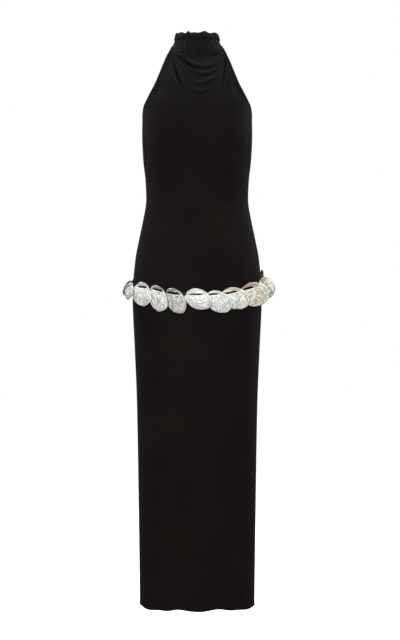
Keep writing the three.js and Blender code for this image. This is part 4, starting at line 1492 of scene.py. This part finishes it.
# %% How each shell looks
LOOK_COLUMNS = (
    "light", "green", "violet", "cream", "rose", "olive", "dusk",
    "rib", "ribs", "rib_turn", "rib_bend", "slot_long", "slot_tall",
    "crumple", "lip", "tip", "nick", "cut", "back",
)
LOOKS = [
    (
        0.96, 0, 0.15, 0.05, 0.45, 0, 0.25, 8, 0.8, 64, -0.008, 1.05, 0.8,
        0.9, 0.6, -43, 1.4, 0.06, 1,
    ),
    (0.96, 0.25, 0, 0.15, 0.1, 0.9, 0.55, 6.6, 1.2, 40, 0.012, 0.8, 0.85, 1.3, 0.7, -60, 1, 0, 1),
    (1.02, 0.05, 0.3, 0.1, 0.2, 0.1, 0.75, 4.8, 0.9, -40, 0.01, 1.2, 1.05, 1.4, 0.9, -70, 1, 0, 1),
    (1.06, 0.05, 0, 1.2, 0.5, 0, 1.15, 6.4, 1.2, 66, 0.014, 1.15, 1.3, 1.7, 0.6, -35, 1.8, 0.03, 1),
    (1.05, 0.15, 0, 1.2, 0.1, 1, 1.3, 5.8, 1, 20, -0.01, 0.55, 0.5, 1.7, 0.15, -20, 1.6, 0, 1),
    (0.88, 0.3, 0.1, 0.35, 0.3, 0.5, 0.6, 6, 0.9, 50, 0.01, 0.9, 0.9, 1, 1, -50, 1, 0, 0.3),
    (0.92, 0.15, 0.3, 0.15, 0.35, 0.2, 0.5, 5.6, 0.9, -20, 0.012, 0.85, 0.8, 1, 1, -80, 1, 0, 1),
    (0.88, 0.4, 0.1, 0.2, 0.25, 0.7, 0.5, 6, 1, 30, -0.01, 0.9, 1, 1, 1, -65, 1, 0, 1),
    (0.86, 0.2, 0.4, 0.1, 0.3, 0.3, 0.7, 5.6, 1.3, 5, -0.012, 0.95, 0.85, 1, 1, -75, 1, 0, 1),
    (0.94, 0.1, 0.2, 0.3, 0.4, 0, 0.4, 6.6, 0.8, 60, 0.008, 0.8, 0.9, 1, 1, -60, 1, 0, 1),
    (0.87, 0.45, 0.15, 0.25, 0.2, 0.8, 0.6, 5.8, 1, -30, 0.012, 0.9, 1, 1, 1, -80, 1, 0, 1),
    (0.9, 0.2, 0.35, 0.2, 0.35, 0.2, 0.6, 5.6, 0.9, 25, -0.01, 0.85, 0.8, 1, 1, -65, 1, 0, 1),
    (0.86, 0.3, 0.2, 0.5, 0.3, 0.5, 0.6, 5.8, 1, 50, 0.01, 0.8, 0.9, 1, 1, -70, 1, 0, 1),
    # Shell 14's back column of 1.9 is painted light on a back that lies in shade.
    (0.75, 0.3, 0.3, 0.2, 0.5, 0.3, 0.6, 5.6, 0.9, 10, 0.01, 0.5, 0.6, 1, 0.6, -70, 1, 0, 1.9),
    (0.7, 0.15, 0.3, 0.1, 0.6, 0.1, 0.4, 5.6, 0.5, 10, 0.01, 0.5, 0.6, 0.7, 0.4, -80, 1, 0, 1.2),
    (1, 0.3, 0, 0.1, 0.1, 1, 0.8, 6.6, 0.8, 14, -0.008, 0.78, 1.1, 1, 0.9, -70, 1.3, 0.17, 1),
    (
        0.94, 0.12, 0.2, 0.1, 0.25, 0.5, 1.15, 6.4, 1.3, 28, -0.008, 1.05, 1.15,
        1.1, 1, -72, 1.2, 0.03, 1,
    ),
    (0.76, 0.1, 0.45, 0.1, 0.35, 0.15, 1.1, 6, 1.9, 6, -0.013, 1.1, 1.3, 1.2, 0.7, -90, 1, 0, 1),
]
TINTS = {
    "silver": (0.62, 0.62, 0.59),
    "shade": (0.2, 0.195, 0.185),
    "green": (0.33, 0.5, 0.43),
    "violet": (0.34, 0.34, 0.42),
    "cream": (0.54, 0.49, 0.34),
    "rose": (0.6, 0.49, 0.46),
    "teal": (0.22, 0.46, 0.38),
    "blue": (0.26, 0.29, 0.38),
    "mauve": (0.36, 0.31, 0.33),
    "olive": (0.29, 0.3, 0.19),
    "brown": (0.25, 0.18, 0.13),
    "bronze": (0.42, 0.22, 0.14),
    "pale": (0.78, 0.77, 0.73),
    "beige": (0.36, 0.31, 0.265),
    "band": (0.64, 0.59, 0.54),
}
TINTS = {name: np.array(colour) for name, colour in TINTS.items()}
# Each spot: shell, tint, x, y, wide, tall, lean, amount
SPOTS = [
    (1, "rose", 18, -2, 7, 12, 15, 0.45),
    # The shade spot at the foot of shell 1 is painted shade where its dome turns down.
    (1, "shade", 6, -20, 11, 4, -20, 0.25),
    (1, "pale", -14, 4, 12, 6, -15, 0.6),
    (1, "shade", -4, -9, 12, 1.6, -24, 0.5),
    (1, "violet", 8, -4, 6, 7, 30, 0.6),
    (1, "beige", 10, 20, 10, 3, -25, 0.6),
    (1, "olive", 9, 14, 5, 2.5, -20, 0.9),
    (2, "green", -8, 8, 10, 7, 0, 0.5),
    (2, "shade", 8, 12, 4, 6, 40, 0.4),
    (2, "pale", 6, -6, 9, 6, 30, 0.5),
    (3, "violet", 6, 0, 6, 7, 0, 0.6),
    (3, "rose", -4, -8, 5, 5, 0, 0.35),
    (3, "pale", 22, -8, 5, 14, 20, 0.7),
    (3, "beige", -24, 20, 12, 10, 20, 1.5),
    (3, "brown", -25, 21, 11, 8, 20, 1.6),
    (3, "shade", 6, 24, 9, 3, 0, 0.5),
    (4, "brown", 17, 3, 6, 12, 20, 0.6),
    (4, "brown", -8, 24, 12, 6, 10, 0.5),
    (4, "rose", 4, 6, 9, 6, 0, 0.5),
    (4, "cream", 0, -18, 18, 7, 0, 0.6),
    (4, "olive", 22, -15, 6, 5, 30, 0.4),
    (5, "olive", -2, 18, 18, 9, -10, 1.3),
    (5, "green", 10, -2, 7, 12, 0, 0.4),
    (5, "pale", 20, -10, 6, 8, 20, 0.6),
    (5, "brown", 27, 6, 3, 14, 15, 1.1),
    (5, "pale", 16, 0, 7, 12, 15, 0.7),
    (5, "olive", 8, -14, 8, 6, 0, 0.5),
    (14, "bronze", -8, 4, 14, 18, 0, 1.2),
    (14, "shade", -8, -18, 14, 9, 0, 0.8),
    (15, "mauve", -2, 8, 12, 12, 0, 0.7),
    (15, "bronze", -14, 12, 7, 14, 20, 1.3),
    (15, "green", 2, -14, 10, 8, 0, 0.4),
    (16, "teal", 14, -15, 6, 9, 25, 0.95),
    (16, "teal", 20, -5, 4, 7, 10, 0.6),
    (16, "rose", 17, 6, 4, 10, 10, 0.7),
    (16, "mauve", 19, 2, 6, 11, 10, 0.9),
    (16, "pale", -4, 2, 12, 11, 0, 0.6),
    (17, "shade", -2, 28, 17, 7, -10, 1.4),
    (17, "blue", 7, -2, 3, 12, 5, 0.75),
    (17, "shade", -10, -2, 3.5, 8, 25, 0.5),
    (17, "teal", 18, -13, 5, 7, 20, 0.8),
    (17, "rose", 7, -27, 9, 5, 0, 0.7),
    (17, "pale", -2, 0, 4, 14, 25, 0.7),
    (18, "mauve", -16, 5, 7, 17, 5, 0.8),
    (18, "shade", -6, 27, 17, 8, 0, 1.4),
    (18, "blue", 6, 0, 6, 14, 8, 0.9),
    (18, "shade", 11, 10, 2.5, 10, 15, 0.6),
    (18, "olive", 19, 2, 4, 13, 15, 0.3),
    (18, "pale", 2, -22, 5, 6, 0, 0.8),
    (18, "pale", -3, 2, 2.5, 14, 5, 0.7),
]


def laid(colour, over, amount):
    """One colour laid over another, by an amount for each point."""
    return colour + (over - colour) * np.clip(amount, 0, 1)[:, None]


def spot_amount(flat, x, y, wide, tall, lean, amount):
    """How much of a soft leaning spot lies at each place."""
    turn = math.radians(lean)
    u = (flat[:, 0] - x) * math.cos(turn) + (flat[:, 1] - y) * math.sin(turn)
    v = (flat[:, 1] - y) * math.cos(turn) - (flat[:, 0] - x) * math.sin(turn)
    return amount * mound(u / wide, v / tall)


# Each tint that comes of itself: start, share of the broad hue, share of the fine one
HUES = {
    "cream": (0.5, 0.7, 0), "green": (0.4, -0.9, 0.3),
    "violet": (0.3, 0.8, 0.5), "rose": (0.2, -0.4, 0.9),
}
# The crease, slot and groove amounts are painted shade; the ridge and lip amounts are painted
# highlight.
AMOUNTS = {"rose": 0.6, "slot": 0.6, "band": 0.8, "crease": 0.72, "ridge": 0.7}
AMOUNTS |= {"groove": 0.65, "lip": 0.6}
# Painted shade on the crescent just above the slot.
SLOT_SHADE = {"above": 4, "wide": 2.5}
MOTTLE, FINE_MOTTLE, LESS_OUTSIDE = 0.8, 0.35, 0.2
# Painted shade in the troughs of the ribs and crumples, and painted highlight on their crests.
WRINKLE_PAINTED_SHADE = {"ribs": 0.75, "crumple": 0.45, "less": 0.1, "least": 0.3}
WRINKLE_PAINTED_LIGHT = {"ribs": 0.8, "crumple": 0.3}


def pearl_colour(number, shell, flat, masks, seed):
    """The pearl's colours at each point, laid in layers, with painted shade and highlight."""
    hue, fine = clouds(flat, seed, "hue"), clouds(flat, seed, "fine hue")
    inner, outside, at_side = masks["inner"], masks["outside"], masks["at_side"]
    ribs, crumple = masks["ribs"], masks["crumple"]
    natural = {
        name: shell[name] * ramp(start + broad * hue + small * fine)
        for name, (start, broad, small) in HUES.items()
    }
    crescent = outside * (1 - at_side)
    crest = TINTS["beige"] + (TINTS["olive"] - TINTS["beige"]) * shell["olive"]
    crest = crest + (TINTS["silver"] - crest) * (1 - shell["dusk"])
    # Painted shade on the crescent just above the slot, as deep as the shell's dusk.
    painted_slot_shade = crescent * bell(masks["above"] - SLOT_SHADE["above"], SLOT_SHADE["wide"])
    mottle = (MOTTLE + FINE_MOTTLE * fine) * (1 - LESS_OUTSIDE * outside)
    by_hand = [
        (TINTS[tint], spot_amount(flat, *spot) * mottle)
        for owner, tint, *spot in SPOTS
        if owner == number
    ]
    # Where the wrinkles sink the colour gets painted shade, and where they rise a painted
    # highlight.
    creased = -WRINKLE_PAINTED_SHADE["ribs"] * ribs - WRINKLE_PAINTED_SHADE["crumple"] * crumple - WRINKLE_PAINTED_SHADE["less"]
    creased = np.clip(creased, 0, 1) * at_least(WRINKLE_PAINTED_SHADE["least"], inner)
    painted_wrinkle_light = np.clip(WRINKLE_PAINTED_LIGHT["ribs"] * ribs + WRINKLE_PAINTED_LIGHT["crumple"] * crumple, 0, 1) * inner
    layers = [
        (TINTS["cream"], natural["cream"]),
        (TINTS["green"], natural["green"]),
        (TINTS["violet"], natural["violet"] * inner),
        (TINTS["rose"], natural["rose"] * AMOUNTS["rose"]),
        (crest, crescent),
        # Painted shade just above the slot.
        (TINTS["shade"], AMOUNTS["slot"] * shell["dusk"] * painted_slot_shade),
        (TINTS["band"], AMOUNTS["band"] * outside * at_side),
        *by_hand,
        # Painted shade in the wrinkles' troughs and a painted highlight on their crests.
        (TINTS["shade"], AMOUNTS["crease"] * creased),
        (TINTS["pale"], AMOUNTS["ridge"] * painted_wrinkle_light),
        # A thin brown line of painted shade in the groove beside the band.
        (TINTS["brown"], AMOUNTS["groove"] * masks["groove"] * at_side),
        # A painted highlight along the raised lip under the slot.
        (TINTS["pale"], AMOUNTS["lip"] * masks["lip"]),
    ]
    colour = np.repeat(TINTS["silver"][None], len(flat), axis=0)
    for tint, amount in layers:
        colour = laid(colour, tint, amount)
    return colour * shell["light"]


print("looks:", len(LOOKS))

# %% [markdown]
# ### The finish of the shells
#
# Pearl is smooth and bright under a hard clear surface, so it takes a coat. The colour comes from
# the points, and the finish breaks it up with lines that are too fine for the net. The back of a
# shell is dull and brown, and a second attribute says which side a point is on.

# %% Pearl on one side, rough shell on the other
HAIRLINE, HAIRLINE_RANGE = 2.2 * MM, (0.25, 0.75)
HAIRLINE_TONE, TONE_LEAST = 0.45, 0.72
GLINT, GLINT_RANGE = 5.5 * MM, (0.3, 0.7)
PEARL_ROUGH, GLINT_ROUGH, DULL_ROUGH = 0.2, 0.16, 0.4
HAIRLINE_SHARE = 0.8
PEARL_COAT = 0.45
PEARL_BUMP = (0.55, 0.45 * MM)

pearl_finish = Finish("pearl_and_shell")
pearl_place = pearl_finish.attribute("shell_place", out=1)
pearl_side = pearl_finish.attribute("pearl_side")
tint = pearl_finish.attribute("shell_colour", out=0)
hairlines = pearl_finish.cloudy(pearl_place, HAIRLINE, detail=5.0, rough=0.65)
glints = pearl_finish.cloudy(pearl_place, GLINT, detail=2.0)
pearl = pearl_finish.set(
    Base_Color=tint.scaled(hairlines.between(*HAIRLINE_RANGE) * HAIRLINE_TONE + TONE_LEAST),
    Roughness=(1 - pearl_side) * DULL_ROUGH
    + glints.between(*GLINT_RANGE) * GLINT_ROUGH
    + PEARL_ROUGH,
    Coat_Weight=pearl_side * PEARL_COAT,
    Coat_Roughness=0.12,
    Specular_IOR_Level=0.6,
    Normal=pearl_finish.bump(hairlines * HAIRLINE_SHARE + glints, *PEARL_BUMP),
)


SEED_START, SEED_STEP = 10.0, 7.3
THIN_FROM, THIN_OVER = 0.93, 0.07
THIN, PEARL_SHARE = 0.75, 0.25
BACK_ROUGH = 0.22
RIM_BULGE = 0.35
SHELLS_APART = 97.0
# The back's own brown, made lighter as painted light, because the backs lie in shade.
BACK_BROWN_WITH_PAINTED_LIGHT = np.array([0.5, 0.3, 0.2])
# Each colour over the brown of the back: colour, way up, start, span
BACK_LAYERS = [((0.16, 0.1, 0.11), 1, 0.1, 0.6), ((0.19, 0.24, 0.22), -1, 0.15, 0.5)]
TIDE = 0.5


def back_colour(shell, flat, seed):
    """The dull back: brown across the middle, darker to the top and to the foot, lifted as painted
    light.
    """
    rise = 2 * flat[:, 1] / shell["wide"] + TIDE * clouds(flat, seed, "tide")
    colour = np.repeat(BACK_BROWN_WITH_PAINTED_LIGHT[None], len(flat), axis=0)
    for over, way, start, span in BACK_LAYERS:
        colour = laid(colour, np.array(over), ramp((way * rise - start) / span))
    # The back column lightens a back; on shell 14, whose back lies in shade, that is painted light.
    return colour * shell["back"]


def runs_clockwise(loop):
    ahead = np.roll(loop, -1, axis=0)
    return float((loop[:, 0] * ahead[:, 1] - ahead[:, 0] * loop[:, 1]).sum()) < 0


def shell_mesh(index, shell):
    """One shell, in the frame of the strap: pearl side out, with walls at its rim and its slot."""
    seed = SEED_START + SEED_STEP * index
    flat, triangles, rim, slot = shell_net(shell)
    relief, masks = pearl_relief(shell, flat, seed)
    dome = SHELL_DOME * (1 - np.minimum(masks["share"], 1) ** 2)
    lean = shell["lean"] * flat[:, 0] - shell["kick"] * flat[:, 1]
    at_rim = ramp((masks["share"] - THIN_FROM) / THIN_OVER)
    thin = THIN * at_rim
    back_rough = BACK_ROUGH * clouds(flat, seed, "back") * (1 - at_rim)
    outer = np.column_stack([flat, dome + lean + SHELL_WALL - PEARL_SHARE * thin + relief])
    inner = np.column_stack([flat, dome + lean + (1 - PEARL_SHARE) * thin + back_rough])
    count = len(flat)
    walls, between = [], []
    start = 2 * count
    for loop, is_rim in ((rim, True), (slot, False)):
        loop = np.array(loop)
        middle = (outer[loop] + inner[loop]) / 2
        if is_rim:
            size = np.linalg.norm(flat[loop], axis=1, keepdims=True)
            middle[:, :2] += flat[loop] / size * RIM_BULGE
        between.append(middle)
        mid = start + np.arange(len(loop))
        ahead, mid_ahead = np.roll(loop, -1), np.roll(mid, -1)
        upper = np.stack([loop, mid, mid_ahead, ahead], -1)
        lower = np.stack([mid, loop + count, ahead + count, mid_ahead], -1)
        turn = 1 if is_rim or runs_clockwise(flat[loop]) else -1
        walls += np.concatenate([upper, lower])[:, ::turn].tolist()
        start += len(loop)
    points = np.concatenate([outer, inner, *between])
    faces = triangles.tolist() + (triangles[:, ::-1] + count).tolist() + walls
    pearl_rgb = pearl_colour(index + 1, shell, flat, masks, seed)
    back_rgb = back_colour(shell, flat, seed)
    at_walls = np.concatenate([rim, slot])
    wall_rgb = (pearl_rgb[at_walls] + back_rgb[at_walls]) / 2
    colours = np.concatenate([pearl_rgb, back_rgb, wall_rgb])
    sides = np.concatenate([np.ones(count), np.zeros(count), np.full(len(at_walls), 0.5)])
    return points, faces, colours, sides


def placed_shell(index, row, look):
    shell = dict(zip(SHELL_COLUMNS, row)) | dict(zip(LOOK_COLUMNS, look))
    here, right, up, out = belt_frame(shell["arc"])
    origin = here - up * shell["hang"] + out * seat_height(shell, here, right, up, out)
    points, faces, colours, sides = shell_mesh(index, shell)
    apart = points + np.array([SHELLS_APART * index, 0, 0])
    attributes = {
        "shell_place": ("FLOAT_VECTOR", apart * MM),
        "shell_colour": ("FLOAT_COLOR", np.column_stack([colours, np.ones(len(colours))])),
        "pearl_side": ("FLOAT", sides),
    }
    placed = points @ np.array([right, up, out]) + np.array(origin)
    number = f"{index + 1:02d}"
    mesh = mesh_of(f"pearl_shell_{number}", placed, faces, pearl, attributes)
    return dressed(f"pearl_shell_{number}", mesh, "shell", f"shell_{number}")


pearl_shells = [placed_shell(i, row, look) for i, (row, look) in enumerate(zip(SHELLS, LOOKS))]
print("shells:", sum(len(piece.data.polygons) for piece in pearl_shells), "faces")
